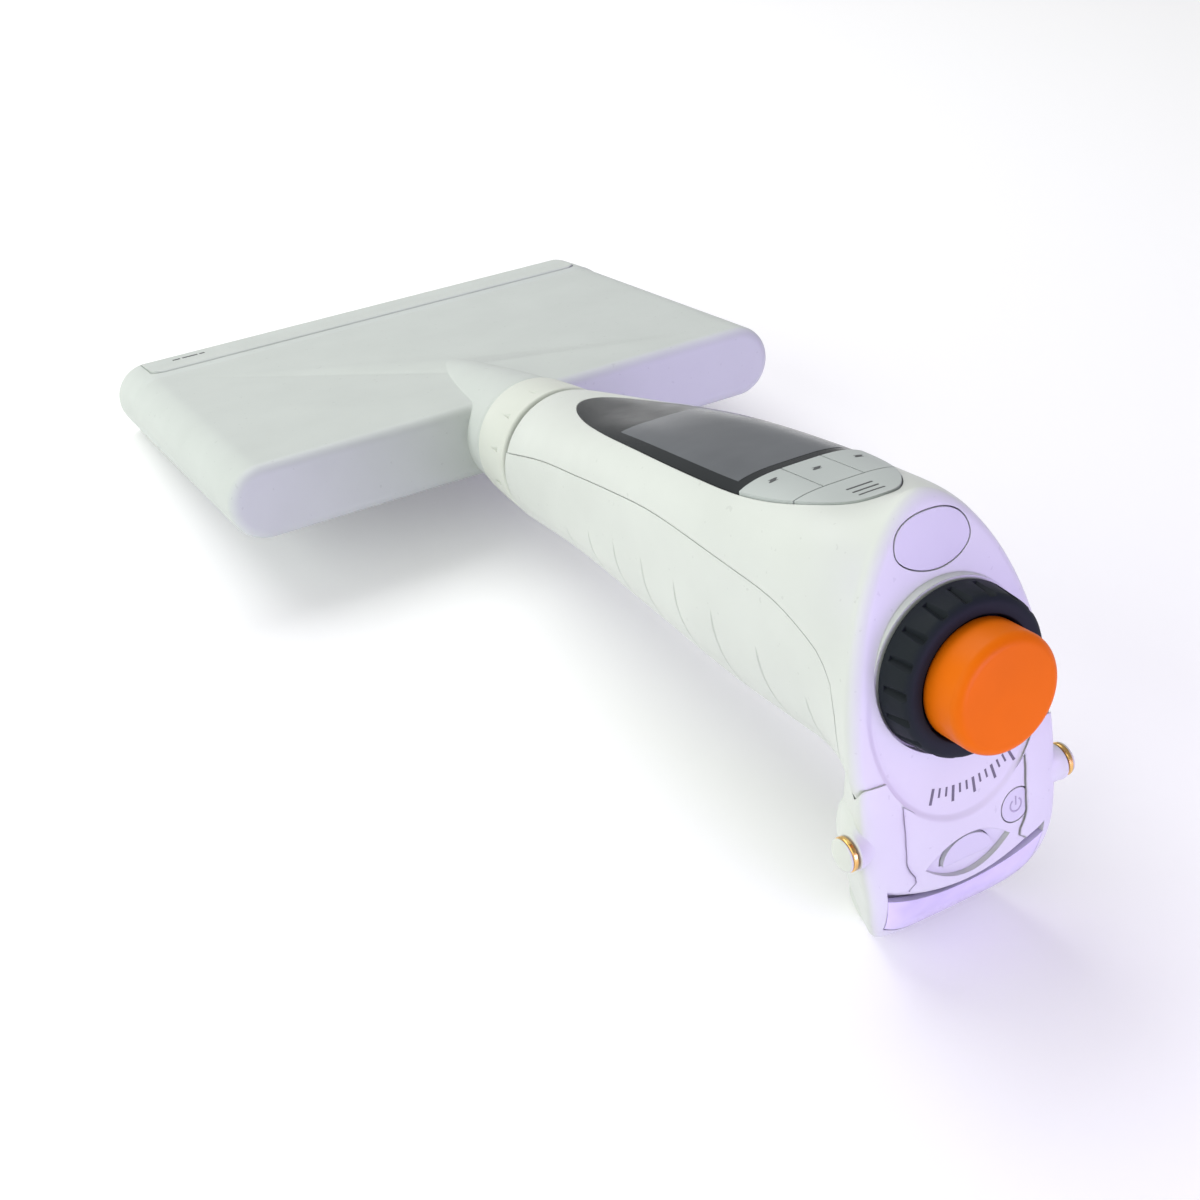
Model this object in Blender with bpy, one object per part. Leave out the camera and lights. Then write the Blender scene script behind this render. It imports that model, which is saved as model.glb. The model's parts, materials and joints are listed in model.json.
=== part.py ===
"""Electronic twelve-channel pipette, lying on its back with the display up.

Metres, +Z up. The design frame has +Y along the pipette toward the tips, +X to the right and +Z on the
display side; its Y = 0 is where the head begins. The root empty tilts that frame, so that the tip edge of
the head and the finger hook rest on the ground, and puts the origin at the bottom centre.
"""

import math

import bmesh
import bpy
from mathutils import Matrix, Vector

# Fits
GAP = 0.0003
WALL = 0.0017

# Head
CHANNELS = 12
PITCH = 0.009
HEAD_WIDTH = 0.118
HEAD_HEIGHT = 0.0866
HEAD_DEPTH = 0.0147
HEAD_EDGE = 0.0022
BULGE_RADIUS = 0.0116
BULGE_START = -0.0064
BULGE_LENGTH = 0.034
EJECTOR_HALF = 0.0525
EJECTOR_DEPTH = 0.0131
EJECTOR_PLATE = 0.0022
EJECTOR_LIP = 0.0009
EJECTOR_CORNER = 0.0028
HEAD_RAMP = 0.0022
HEAD_RAISE = 0.0005
TIP_EDGE = 0.0010
PLATE_DEPTH = 0.008
PLATE_START = 0.062
CONE_RADIUS = 0.0029
CONE_TIP_RADIUS = 0.0023
CONE_FLANGE_RADIUS = 0.0032
CONE_FLANGE_THICKNESS = 0.0016
CONE_REACH = 0.015
CONE_BORE = 0.0015
CONE_TAPER = 0.0090
CONE_SIDES = 12

# Piston drive
PISTON_RADIUS = 0.0012
PISTON_REACH = 0.0205
PISTON_STROKE = 0.018
RACK_DEPTH = 0.006
RACK_REST = 0.042
ROD_RADIUS = 0.0031
ROD_BORE = 0.0022
SCREW_RADIUS = 0.0016
NUT_RADIUS = 0.0052
NUT_LENGTH = 0.006
GUIDE_RADIUS = 0.0010
GUIDE_START = 0.0022
MODULE = 0.0004
GEAR_TEETH = 24
PINION_TEETH = 12
GEAR_WIDTH = 0.0032
MOTOR_RADIUS = 0.0056
MOTOR_LENGTH = 0.024

SHAFT_RADIUS = 0.0008
ROD_END = -0.0445
SCREW_TIP = -0.022
BRACKET_Y = -0.0770
BRACKET_THICKNESS = 0.0020
RAIL_PLACE = 0.0080
RAIL_RADIUS = 0.0011
RAIL_END = -0.0430

# Neck between head and handle
NECK_END = -0.0211
NECK_RADIUS = 0.013
TUBE_RADIUS = 0.009
TUBE_BORE = 0.0066
TUBE_END = -0.0385
TUBE_FLANGE = 0.0100
RING_START = -0.0069
RING_END = -0.0195
RING_RADIUS = 0.012
RING_GROWTH = 0.0008
RING_NICKS = 12

# Handle: half width, top and bottom at stations along the axis
STATIONS = (-0.0211, -0.045, -0.070, -0.095, -0.112)
HALF_WIDTHS = (0.0130, 0.0140, 0.0152, 0.0157, 0.0149)
TOPS = (0.0130, 0.0156, 0.0192, 0.0210, 0.0217)
BOTTOMS = (-0.0130, -0.0121, -0.0139, -0.0167, -0.0180)
TOP_FULLNESS = 3.6
BOTTOM_FULLNESS = 2.05
HANDLE_SIDES = 36
FLARE_START = -0.113
FLARE_EASE = 2.3

# End face of the handle
FACE_Y = -0.13385
FACE_LOW = -0.0240
FACE_CROWN = 3.0
FACE_SIDE_CROWN = 4.0
FACE_TOP = 0.0254
FACE_WAIST = -0.0098
FACE_HALF = 0.0168
FACE_POWER = 0.58
TONGUE_HALF = 0.0152
TONGUE_END_HALF = 0.0139
TONGUE_BOTTOM = -0.0282
TONGUE_SAG = 0.0032
TONGUE_CORNER = 0.0006
FACE_FILLET = 0.0017
DISH_HALF = 0.0137
DISH_HEIGHT = 0.0174
DISH_CENTRE = -0.0025
DISH_DEPTH = 0.0005
DISH_FADE = (0.0040, -0.0060)
DISH_CLEARANCE = 1.03

# Controls on the end face
WHEEL_Z = 0.0022
WHEEL_RADIUS = 0.0119
WHEEL_FRONT_RADIUS = 0.0114
WHEEL_DEPTH = 0.0055
WHEEL_BASE = -0.1311
WHEEL_NICKS = 18
HUB_RADIUS = 0.0056
HUB_END = -0.1246
CAP_RADIUS = 0.0085
CAP_FRONT = -0.1427
CAP_BASE = -0.1361
CAP_EDGE = 0.0016
CAP_TRAVEL = 0.0022
STEM_RADIUS = 0.0034
STEM_END = -0.1244
ENCODER_END = -0.1266
ENCODER_RADIUS = 0.0086
END_BOARD_Y = -0.1195
EJECT_KEY_Z = 0.0187
EJECT_KEY_HALF = 0.00615
EJECT_KEY_UP = 0.0044
EJECT_KEY_DOWN = 0.0034
EJECT_KEY_TRAVEL = 0.0008
POWER_KEY_X = 0.0085
POWER_KEY_Z = -0.0221
POWER_KEY_RADIUS = 0.0026
POWER_KEY_TRAVEL = 0.0005
LEAF_Z = -0.0262
LEAF_HALF = 0.0073
LEAF_HEIGHT = 0.0032
LEAF_DEPTH = 0.0010
LATCH_HALF = 0.0045
LATCH_HEIGHT = 0.0039
LATCH_FOOT = -0.0272
LATCH_TRAVEL = 0.0005

# Display inset: a long egg on the top of the handle
INSET_START = -0.0320
INSET_WIDEST = -0.0920
INSET_END = -0.1185
INSET_HALF = 0.0110
KEY_LINE = -0.0990
KEY_END = -0.1095
KEY_SPLIT = 0.0034
KEY_RISE = 0.0003
KEY_TRAVEL = 0.0004
KEY_GAP = 0.00025
LCD_THICKNESS = 0.0024
LCD_START = -0.0560
LCD_END = -0.0972
BOARD_THICKNESS = 0.0012
BOARD_END = -0.1160
MAT_THICKNESS = 0.0008
MAT_HALF = 0.0081
DOME_RADIUS = 0.0015

# Grip shell: its seam with the upper shell
SEAM_STATIONS = (
    -0.020, -0.0377, -0.0526, -0.0679, -0.0789, -0.0882, -0.1020, -0.1139, -0.1197, -0.1231, -0.1256,
)
SEAM_HEIGHTS = (0.0043, 0.0079, 0.0099, 0.0116, 0.0124, 0.0123, 0.0112, 0.0093, 0.0071, 0.0052, 0.0023)
SEAM_END = -0.1272
SEAM_LOW = -0.0100
RIB_STARTS = (-0.0469, -0.0566, -0.0663, -0.0760, -0.0863, -0.0967, -0.1074, -0.1184)
RIB_TOPS = (-0.0010, 0.0022, 0.0038, 0.0043, 0.0042, 0.0034, 0.0015, -0.0022)
RIB_WIDTH = 0.0009
RIB_DEPTH = 0.0004
RIB_SLANT = 0.0036

# Finger hook
HOOK_WIDTH = 0.0175
HOOK_TOP = -0.0105
HOOK_TAPER = 0.22
HOOK_BOTTOM = -0.0415
HOOK_TIP = -0.1152
HOOK_TIP_HALF = 0.0087
PIN_Y = -0.1313
PIN_Z = -0.0198
PIN_RADIUS = 0.0025
PIN_BOSS_RADIUS = 0.0027
PIN_BOSS_END = 0.0178
PIN_STEM = 0.0018
PIN_STEM_RADIUS = 0.0014
PIN_RING = 0.0007
PIN_DISC = 0.0004
PIN_DISC_GAP = 0.0001
WINDOW_HALF = 0.0137
WINDOW_HEIGHT = 0.0080
WINDOW_THICKNESS = 0.0012
WINDOW_BACK = -0.1275
CARD_THICKNESS = 0.0003

# Battery
BATTERY_WIDTH = 0.019
BATTERY_HEIGHT = 0.0095
BATTERY_LENGTH = 0.034


def clear_scene():
    for obj in list(bpy.data.objects):
        bpy.data.objects.remove(obj)


def material(name, colour, roughness, metallic=0.0):
    made = bpy.data.materials.get(name)
    if made is None:
        made = bpy.data.materials.new(name)
        made.use_nodes = True
        shader = made.node_tree.nodes["Principled BSDF"]
        shader.inputs["Base Color"].default_value = (*colour, 1.0)
        shader.inputs["Roughness"].default_value = roughness
        shader.inputs["Metallic"].default_value = metallic
    return made


def shell_white():
    return material("shell_white", (0.80, 0.82, 0.79), 0.35)


def head_white():
    return material("head_white", (0.76, 0.78, 0.76), 0.4)


def ring_white():
    return material("ring_white", (0.86, 0.88, 0.82), 0.3)


def black_rubber():
    return material("black_rubber", (0.03, 0.035, 0.04), 0.6)


def orange():
    return material("orange", (0.85, 0.22, 0.01), 0.35)


def lens_dark():
    return material("lens_dark", (0.06, 0.06, 0.065), 0.12)


def glass_grey():
    return material("glass_grey", (0.25, 0.26, 0.28), 0.15)


def clear_plastic():
    return material("clear_plastic", (0.75, 0.75, 0.80), 0.1)


def gold():
    return material("gold", (0.83, 0.58, 0.22), 0.25, 1.0)


def steel():
    return material("steel", (0.62, 0.62, 0.63), 0.3, 1.0)


def brass():
    return material("brass", (0.75, 0.58, 0.28), 0.35, 1.0)


def inner_plastic():
    return material("inner_plastic", (0.30, 0.31, 0.33), 0.5)


def board_green():
    return material("board_green", (0.04, 0.20, 0.10), 0.5)


def cone_plastic():
    return material("cone_plastic", (0.72, 0.74, 0.76), 0.35)


def battery_blue():
    return material("battery_blue", (0.08, 0.16, 0.36), 0.45)


def card_white():
    return material("card_white", (0.85, 0.85, 0.84), 0.8)


def add_object(name, bm, paint=None, root=None, at=(0.0, 0.0, 0.0), sharp=35.0):
    """An object from bm, whose origin moves to the point at of the design frame."""
    bmesh.ops.translate(bm, verts=bm.verts, vec=-Vector(at))
    mesh = bpy.data.meshes.new(name)
    bm.to_mesh(mesh)
    bm.free()
    mesh.shade_smooth()
    mesh.set_sharp_from_angle(angle=math.radians(sharp))
    obj = bpy.data.objects.new(name, mesh)
    bpy.context.scene.collection.objects.link(obj)
    obj.location = at
    obj.parent = root
    if paint:
        mesh.materials.append(paint)
    else:
        obj.hide_render = True
        obj.display_type = "WIRE"
    return obj


def boolean(obj, other, operation="DIFFERENCE"):
    modifier = obj.modifiers.new(operation.lower(), "BOOLEAN")
    modifier.operation = operation
    modifier.object = other
    modifier.solver = "EXACT"
    return modifier


def round_edges(obj, width, segments=2, angle=40.0):
    modifier = obj.modifiers.new("rounding", "BEVEL")
    modifier.width = width
    modifier.segments = segments
    modifier.limit_method = "ANGLE"
    modifier.angle_limit = math.radians(angle)
    return modifier


def skin_rings(rings, closed=False):
    """A body over rings of equally many points. A closed one joins its last ring to its first."""
    bm = bmesh.new()
    rows = [[bm.verts.new(point) for point in ring] for ring in rings]
    count = len(rows[0])
    pairs = list(zip(rows, rows[1:]))
    if closed:
        pairs.append((rows[-1], rows[0]))
    for low, high in pairs:
        for i in range(count):
            j = (i + 1) % count
            bm.faces.new((low[i], low[j], high[j], high[i]))
    if not closed:
        bm.faces.new(list(reversed(rows[0])))
        bm.faces.new(rows[-1])
    bmesh.ops.recalc_face_normals(bm, faces=bm.faces)
    return bm


def turned(profile, sides=32, centre=(0.0, 0.0), closed=False):
    """A body turned about the Y axis through centre (x, z). Its profile lists (y, radius)."""
    rings = []
    for y, radius in profile:
        ring = []
        for i in range(sides):
            angle = 2 * math.pi * i / sides
            x = centre[0] + radius * math.cos(angle)
            z = centre[1] + radius * math.sin(angle)
            ring.append(Vector((x, y, z)))
        rings.append(ring)
    return skin_rings(rings, closed)


def pipe(start, end, outer, inner, sides=32, centre=(0.0, 0.0)):
    profile = [(start, inner), (start, outer), (end, outer), (end, inner)]
    return turned(profile, sides, centre, closed=True)


def rod(start, end, radius, sides=24, centre=(0.0, 0.0)):
    return turned([(start, radius), (end, radius)], sides, centre)


def box(low, high):
    bm = bmesh.new()
    bmesh.ops.create_cube(bm, size=1.0)
    low = Vector(low)
    high = Vector(high)
    size = high - low
    bmesh.ops.scale(bm, vec=size, verts=bm.verts)
    bmesh.ops.translate(bm, vec=(low + high) / 2, verts=bm.verts)
    return bm


def rounded_outline(corners, steps=5):
    """Points of a closed outline whose corners, given as (x, y, radius), are arcs."""
    points = []
    count = len(corners)
    for i in range(count):
        here = Vector(corners[i][:2])
        radius = corners[i][2]
        back = (Vector(corners[i - 1][:2]) - here).normalized()
        ahead = (Vector(corners[(i + 1) % count][:2]) - here).normalized()
        if radius == 0:
            points.append(here)
            continue
        half = back.angle(ahead) / 2
        reach = radius / math.tan(half)
        centre = here + (back + ahead).normalized() * radius / math.sin(half)
        start = here + back * reach - centre
        turn = math.pi - 2 * half
        if start.x * ahead.y - start.y * ahead.x < 0:
            turn = -turn
        for step in range(steps + 1):
            angle = turn * step / steps
            cos = math.cos(angle)
            sin = math.sin(angle)
            spoke = Vector((start.x * cos - start.y * sin, start.x * sin + start.y * cos))
            points.append(centre + spoke)
    return points


def prism(outline, start, end, axis):
    """A body with its outline across the axis: (x, z) points for Y, (x, y) for Z, (y, z) for X."""
    place = {
        "X": lambda a, b, c: Vector((c, a, b)),
        "Y": lambda a, b, c: Vector((a, c, b)),
        "Z": lambda a, b, c: Vector((a, b, c)),
    }[axis]
    rings = [[place(p[0], p[1], level) for p in outline] for level in (start, end)]
    return skin_rings(rings)


def mirrored(half):
    """A closed outline from its right half, which runs from the top of the axis to its bottom."""
    left = [Vector((-p[0], p[1])) for p in reversed(half) if abs(p[0]) > 1e-6]
    return [Vector(p) for p in half] + left


def smooth_value(stations, values, at):
    """A smooth curve through values at rising or falling stations, level beyond its ends."""
    if stations[0] > stations[-1]:
        stations = stations[::-1]
        values = values[::-1]
    if at <= stations[0]:
        return values[0]
    if at >= stations[-1]:
        return values[-1]
    count = len(stations)
    slopes = [(values[i + 1] - values[i]) / (stations[i + 1] - stations[i]) for i in range(count - 1)]
    tangents = [slopes[0]]
    tangents += [(slopes[i] + slopes[i + 1]) / 2 for i in range(count - 2)]
    tangents += [slopes[-1]]
    i = max(k for k in range(count - 1) if stations[k] <= at)
    span = stations[i + 1] - stations[i]
    t = (at - stations[i]) / span
    return (
        values[i] * (2 * t**3 - 3 * t**2 + 1)
        + tangents[i] * span * (t**3 - 2 * t**2 + t)
        + values[i + 1] * (3 * t**2 - 2 * t**3)
        + tangents[i + 1] * span * (t**3 - t**2)
    )


def angles():
    """Even turns about the handle's middle; the nearest two are moved onto the tongue's corners."""
    turns = [2 * math.pi * i / HANDLE_SIDES for i in range(HANDLE_SIDES)]
    corner = math.atan2(TONGUE_BOTTOM + TONGUE_CORNER - WHEEL_Z, TONGUE_END_HALF)
    for aim in (corner + 2 * math.pi, math.pi - corner):
        nearest = min(range(HANDLE_SIDES), key=lambda i: abs(turns[i] - aim))
        turns[nearest] = aim
    return turns


def polar_centre(y):
    """Height of the handle's middle, from the neck's axis up to the wheel's."""
    return WHEEL_Z * min(1.0, max(0.0, (NECK_END - y) / (NECK_END - FLARE_START)))


def handle_radius(y, angle, inset):
    """Distance from the middle of the section at y to its skin, toward angle."""
    middle = polar_centre(y)
    width = smooth_value(STATIONS, HALF_WIDTHS, y) - inset
    share = min(1.0, (NECK_END - y) / 0.030)
    if math.sin(angle) >= 0:
        height = smooth_value(STATIONS, TOPS, y) - inset - middle
        power = 2 + (TOP_FULLNESS - 2) * share
    else:
        height = middle - smooth_value(STATIONS, BOTTOMS, y) - inset
        power = 2 + (BOTTOM_FULLNESS - 2) * share
    across = (abs(math.cos(angle)) / width) ** power
    up = (abs(math.sin(angle)) / height) ** power
    return (across + up) ** (-1 / power)


def handle_ring(y, inset=0.0):
    middle = polar_centre(y)
    ring = []
    for angle in angles():
        radius = handle_radius(y, angle, inset)
        ring.append(Vector((radius * math.cos(angle), y, middle + radius * math.sin(angle))))
    return ring


def face_outline():
    """Right half of the end face, from its top to the bottom of its tongue."""
    half = []
    steps = 16
    for i in range(steps):
        u = math.cos(math.pi / 2 * i / steps)
        z = FACE_WAIST + (FACE_TOP - FACE_WAIST) * u
        half.append((FACE_HALF * (1 - u * u) ** FACE_POWER, z))
    shoulder = [
        (FACE_HALF, FACE_WAIST + 0.0006, 0.0),
        (FACE_HALF - 0.0004, FACE_WAIST - 0.0014, 0.0010),
        (TONGUE_HALF, FACE_WAIST - 0.0045, 0.0050),
        (TONGUE_HALF, FACE_WAIST - 0.0095, 0.0050),
        (TONGUE_END_HALF, TONGUE_BOTTOM, 0.0010),
        (0.0, TONGUE_BOTTOM - TONGUE_SAG * 1.02, 0.0),
    ]
    corners = rounded_outline([(0.0, 0.0, 0.0)] + shoulder, steps=3)[1:]
    for point in corners[:-1]:
        half.append((point[0], point[1]))
    arc = 4
    for i in range(1, arc + 1):
        share = i / arc
        x = TONGUE_END_HALF * 0.93 * (1 - share)
        z = TONGUE_BOTTOM - TONGUE_SAG * (1 - (x / TONGUE_END_HALF) ** 2)
        half.append((x, z))
    return half


def radius_toward(outline, angle, middle):
    """Distance from (0, middle) to a closed outline of (x, z) points, toward angle."""
    aim = Vector((math.cos(angle), math.sin(angle)))
    best = 0.0
    for i, start in enumerate(outline):
        a = Vector(start) - Vector((0.0, middle))
        b = Vector(outline[(i + 1) % len(outline)]) - Vector((0.0, middle))
        edge = b - a
        cross = aim.x * edge.y - aim.y * edge.x
        if abs(cross) < 1e-12:
            continue
        distance = (a.x * edge.y - a.y * edge.x) / cross
        share = (a.x * aim.y - a.y * aim.x) / cross
        if distance > 0 and -1e-6 <= share <= 1 + 1e-6:
            best = max(best, distance)
    return best


def face_y(x, z):
    """The end face: furthest out low on its tongue, leaning back toward its top and its sides."""
    return FACE_Y + FACE_CROWN * (z - FACE_LOW) ** 2 + FACE_SIDE_CROWN * x * x


def dish_outline():
    """The shallow oval in the end face round the wheel."""
    return [(DISH_HALF * math.cos(a), DISH_CENTRE + DISH_HEIGHT * math.sin(a)) for a in angles()]


def rim_y(angle, radius):
    """Where the flare ends and the rim's fillet begins, at this radius about the wheel's axis."""
    return face_y(radius * math.cos(angle), WHEEL_Z + radius * math.sin(angle)) + FACE_FILLET


def face_rings(inset, hole):
    """Rings from the flare through the rim, the face, its dish and the wheel's seat to the hub's hole."""
    outline = mirrored(face_outline())
    middle = WHEEL_Z
    edges = [radius_toward(outline, a, middle) for a in angles()]
    base = [handle_radius(FLARE_START, a, inset) for a in angles()]
    full = [edge - inset for edge in edges]
    back = 2 * max(0.0, -inset)
    lift = inset + back if inset <= 0.0 else 0.0
    ends = [rim_y(a, edge) + lift for a, edge in zip(angles(), edges)]
    shares = [1.0 if inset <= 0.0 else (end + inset - FLARE_START) / (end - FLARE_START) for end in ends]
    reach = [b + (f - b) * share**FLARE_EASE for b, f, share in zip(base, full, shares)]
    dish = dish_outline()
    pad = WHEEL_RADIUS + GAP
    dish_reach = [
        max(min(radius_toward(dish, a, middle), edge - FACE_FILLET), pad + DISH_DEPTH + GAP)
        for a, edge in zip(angles(), reach)
    ]

    def ring_at(radii, lift):
        ring = []
        for a, radius in zip(angles(), radii):
            x = radius * math.cos(a)
            z = middle + radius * math.sin(a)
            ring.append(Vector((x, face_y(x, z) + inset + lift(x, z), z)))
        return ring

    def dish_depth(x, z):
        return DISH_DEPTH * min(1.0, max(0.0, (DISH_FADE[0] - z) / (DISH_FADE[0] - DISH_FADE[1])))

    seat = WHEEL_BASE + GAP
    rings = []
    flare = 5
    for k in range(1, flare):
        ring = []
        for i, a in enumerate(angles()):
            share = shares[i] * k / flare
            radius = base[i] + (full[i] - base[i]) * share**FLARE_EASE
            y = FLARE_START + (ends[i] - FLARE_START) * share
            ring.append(Vector((radius * math.cos(a), y, middle + radius * math.sin(a))))
        rings.append(ring)
    fillet = 3 if inset <= 0.0 else 2
    for k in range(fillet + 1):
        turn = math.pi / 2 * k / fillet
        cut = FACE_FILLET * (1 - math.cos(turn))
        lift = FACE_FILLET * (1 - math.sin(turn)) + (back if k == 0 else 0.0)
        rings.append(ring_at([r - cut for r in reach], lambda x, z, up=lift: up))
    if inset <= 0.0:
        rings.append(ring_at(dish_reach, lambda x, z: 0.0))
        rings.append(ring_at([r - DISH_DEPTH for r in dish_reach], dish_depth))
        rings.append(ring_at([pad] * HANDLE_SIDES, lambda x, z: seat - face_y(x, z)))
        rings.append(ring_at([hole] * HANDLE_SIDES, lambda x, z: seat - face_y(x, z)))
    else:
        mouth = ENCODER_RADIUS + 2 * GAP
        rings.append(ring_at([mouth] * HANDLE_SIDES, lambda x, z: max(0.0, seat - face_y(x, z))))
        rings.append(ring_at([hole] * HANDLE_SIDES, lambda x, z: max(0.0, seat - face_y(x, z))))
    return rings


def casing_rings(inset, hole):
    """Rings of the casing's skin, from its neck to the hole in its end face."""
    edge = 0.0006
    count = 8 if inset <= 0.0 else 4
    span = FLARE_START - NECK_END + edge
    stations = [NECK_END - edge + span * i / count for i in range(count + 1)]
    first = handle_ring(NECK_END, inset + (edge if inset <= 0.0 else 0.0))
    return [first] + [handle_ring(y, inset) for y in stations] + face_rings(inset, hole)


def casing_blank(root, name, growth):
    """The whole hollow casing of the handle, before it is cut into its pieces."""
    hole = HUB_RADIUS + GAP
    outer = casing_rings(-growth, hole)
    inner = casing_rings(WALL, hole)
    return add_object(name, skin_rings(outer + inner[::-1], closed=True), root=root)


def casing_block(root, name, growth):
    """The casing as a full block, grown or shrunk, to cut its neighbours with."""
    rings = casing_rings(-growth, HUB_RADIUS)
    return add_object(name, skin_rings(rings), root=root)


def inset_outline(shrink=0.0, steps=14):
    """The long egg of the display and its keys, as (x, y) points, shrunk all round."""
    half = []
    for i in range(2 * steps + 1):
        turn = math.pi * i / (2 * steps)
        if i <= steps:
            length = INSET_START - INSET_WIDEST - shrink
            along = INSET_WIDEST + length * abs(math.cos(turn)) ** 0.95
            across = (INSET_HALF - shrink) * math.sin(turn)
        else:
            length = INSET_WIDEST - INSET_END - shrink
            along = INSET_WIDEST - length * abs(math.cos(turn)) ** 0.84
            across = (INSET_HALF - shrink) * math.sin(turn) ** 1.05
        half.append((across, along))
    half[0] = (0.0, half[0][1])
    half[-1] = (0.0, half[-1][1])
    return mirrored(half)


def seam_outline(growth):
    """The region of the grip shell seen from the side, as (y, z) points."""
    points = []
    steps = 16
    for i in range(steps + 1):
        y = SEAM_STATIONS[0] + (SEAM_STATIONS[-1] - SEAM_STATIONS[0]) * i / steps
        points.append((y, smooth_value(SEAM_STATIONS, SEAM_HEIGHTS, y) + growth))
    points.append((SEAM_END + 0.0004 - growth, SEAM_LOW + 0.008))
    points.append((SEAM_END - growth, SEAM_LOW))
    points.append((SEAM_END + 0.0012 - growth, SEAM_LOW - 0.006))
    points.append((SEAM_END + 0.0052 - growth, -0.026))
    points.append((SEAM_STATIONS[0] + 0.004, -0.026))
    points.append((SEAM_STATIONS[0] + 0.004, SEAM_HEIGHTS[0] + growth))
    return points


def key_outline(part, shrink):
    """Outlines of the three soft keys and the menu key, cut from the inset by straight lines."""
    wide = INSET_HALF + 0.004
    spans = {
        "left": (-wide, -KEY_SPLIT - shrink),
        "middle": (-KEY_SPLIT + shrink, KEY_SPLIT - shrink),
        "right": (KEY_SPLIT + shrink, wide),
        "menu": (-wide, wide),
    }
    low, high = spans[part]
    if part == "menu":
        top = KEY_END - shrink
        bottom = INSET_END - 0.004
    else:
        top = KEY_LINE - shrink
        bottom = KEY_END + shrink
    return [(low, top), (high, top), (high, bottom), (low, bottom)]


def rack_outline(half_x, half_z, radius):
    return rounded_outline([
        (half_x, half_z, radius),
        (-half_x, half_z, radius),
        (-half_x, -half_z, radius),
        (half_x, -half_z, radius),
    ], steps=6)


def slab_ring(y, half_x, half_z, steps=8):
    """A ring with full-round ends, at most half_z high, in the plane at y."""
    centre = half_x - half_z
    ring = []
    for side in (1, -1):
        for i in range(steps + 1):
            turn = math.pi / 2 - math.pi * i / steps
            x = centre + half_z * math.cos(turn)
            ring.append(Vector((side * x, y, side * half_z * math.sin(turn))))
    return ring


def head_housing(root):
    half_x = HEAD_WIDTH / 2
    half_z = HEAD_DEPTH / 2
    rings = []
    fillet = 4
    for k in range(fillet + 1):
        turn = math.pi / 2 * k / fillet
        cut = HEAD_EDGE * (1 - math.sin(turn))
        rings.append(slab_ring(HEAD_EDGE * (1 - math.cos(turn)), half_x - cut, half_z - cut))
    line = HEAD_HEIGHT - EJECTOR_DEPTH
    rings.append(slab_ring(line - HEAD_RAMP, half_x, half_z))
    rings.append(slab_ring(line - HEAD_RAMP * 0.3, half_x, half_z + HEAD_RAISE * 0.8))
    rings.append(slab_ring(line, half_x, half_z + HEAD_RAISE))
    rings.append(slab_ring(HEAD_HEIGHT - TIP_EDGE, half_x, half_z))
    rings.append(slab_ring(HEAD_HEIGHT - 0.3 * TIP_EDGE, half_x - 0.3 * TIP_EDGE, half_z - 0.3 * TIP_EDGE))
    rings.append(slab_ring(HEAD_HEIGHT, half_x - TIP_EDGE, half_z - TIP_EDGE))
    housing = add_object("head_housing", skin_rings(rings), head_white(), root)
    bulge = [
        (BULGE_START, BULGE_RADIUS),
        (0.0, BULGE_RADIUS - 0.0005),
        (BULGE_LENGTH * 0.35, BULGE_RADIUS * 0.845),
        (BULGE_LENGTH * 0.7, BULGE_RADIUS * 0.715),
        (BULGE_LENGTH * 1.04, half_z - 0.0006),
    ]
    boolean(housing, add_object("bulge", turned(bulge, 32), root=root), "UNION")
    cavity = [slab_ring(y, half_x - WALL, half_z - WALL) for y in (WALL, HEAD_HEIGHT + WALL)]
    boolean(housing, add_object("head_cavity", skin_rings(cavity), root=root))
    tube = [
        (TUBE_END, TUBE_BORE),
        (TUBE_END, TUBE_FLANGE),
        (TUBE_END + 0.0018, TUBE_FLANGE),
        (TUBE_END + 0.0018, TUBE_RADIUS),
        (BULGE_START + 0.001, TUBE_RADIUS),
        (BULGE_START + 0.001, TUBE_BORE),
    ]
    neck = add_object("neck_tube", turned(tube, 24, closed=True), root=root)
    boolean(housing, neck, "UNION")
    bore = add_object("rod_bore", rod(BULGE_START - 0.002, 2 * WALL, TUBE_BORE - 0.0006, 24), root=root)
    boolean(housing, bore)
    half = EJECTOR_HALF + GAP
    notch = rounded_outline([
        (half, line - GAP, EJECTOR_CORNER),
        (half, HEAD_HEIGHT + 0.004, 0.0),
        (-half, HEAD_HEIGHT + 0.004, 0.0),
        (-half, line - GAP, EJECTOR_CORNER),
    ])
    cutter = add_object("ejector_notch", prism(notch, -0.012, 0.012, "Z"), root=root)
    boolean(housing, cutter)


def channel_places():
    first = -(CHANNELS - 1) * PITCH / 2
    return [first + i * PITCH for i in range(CHANNELS)]


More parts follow.
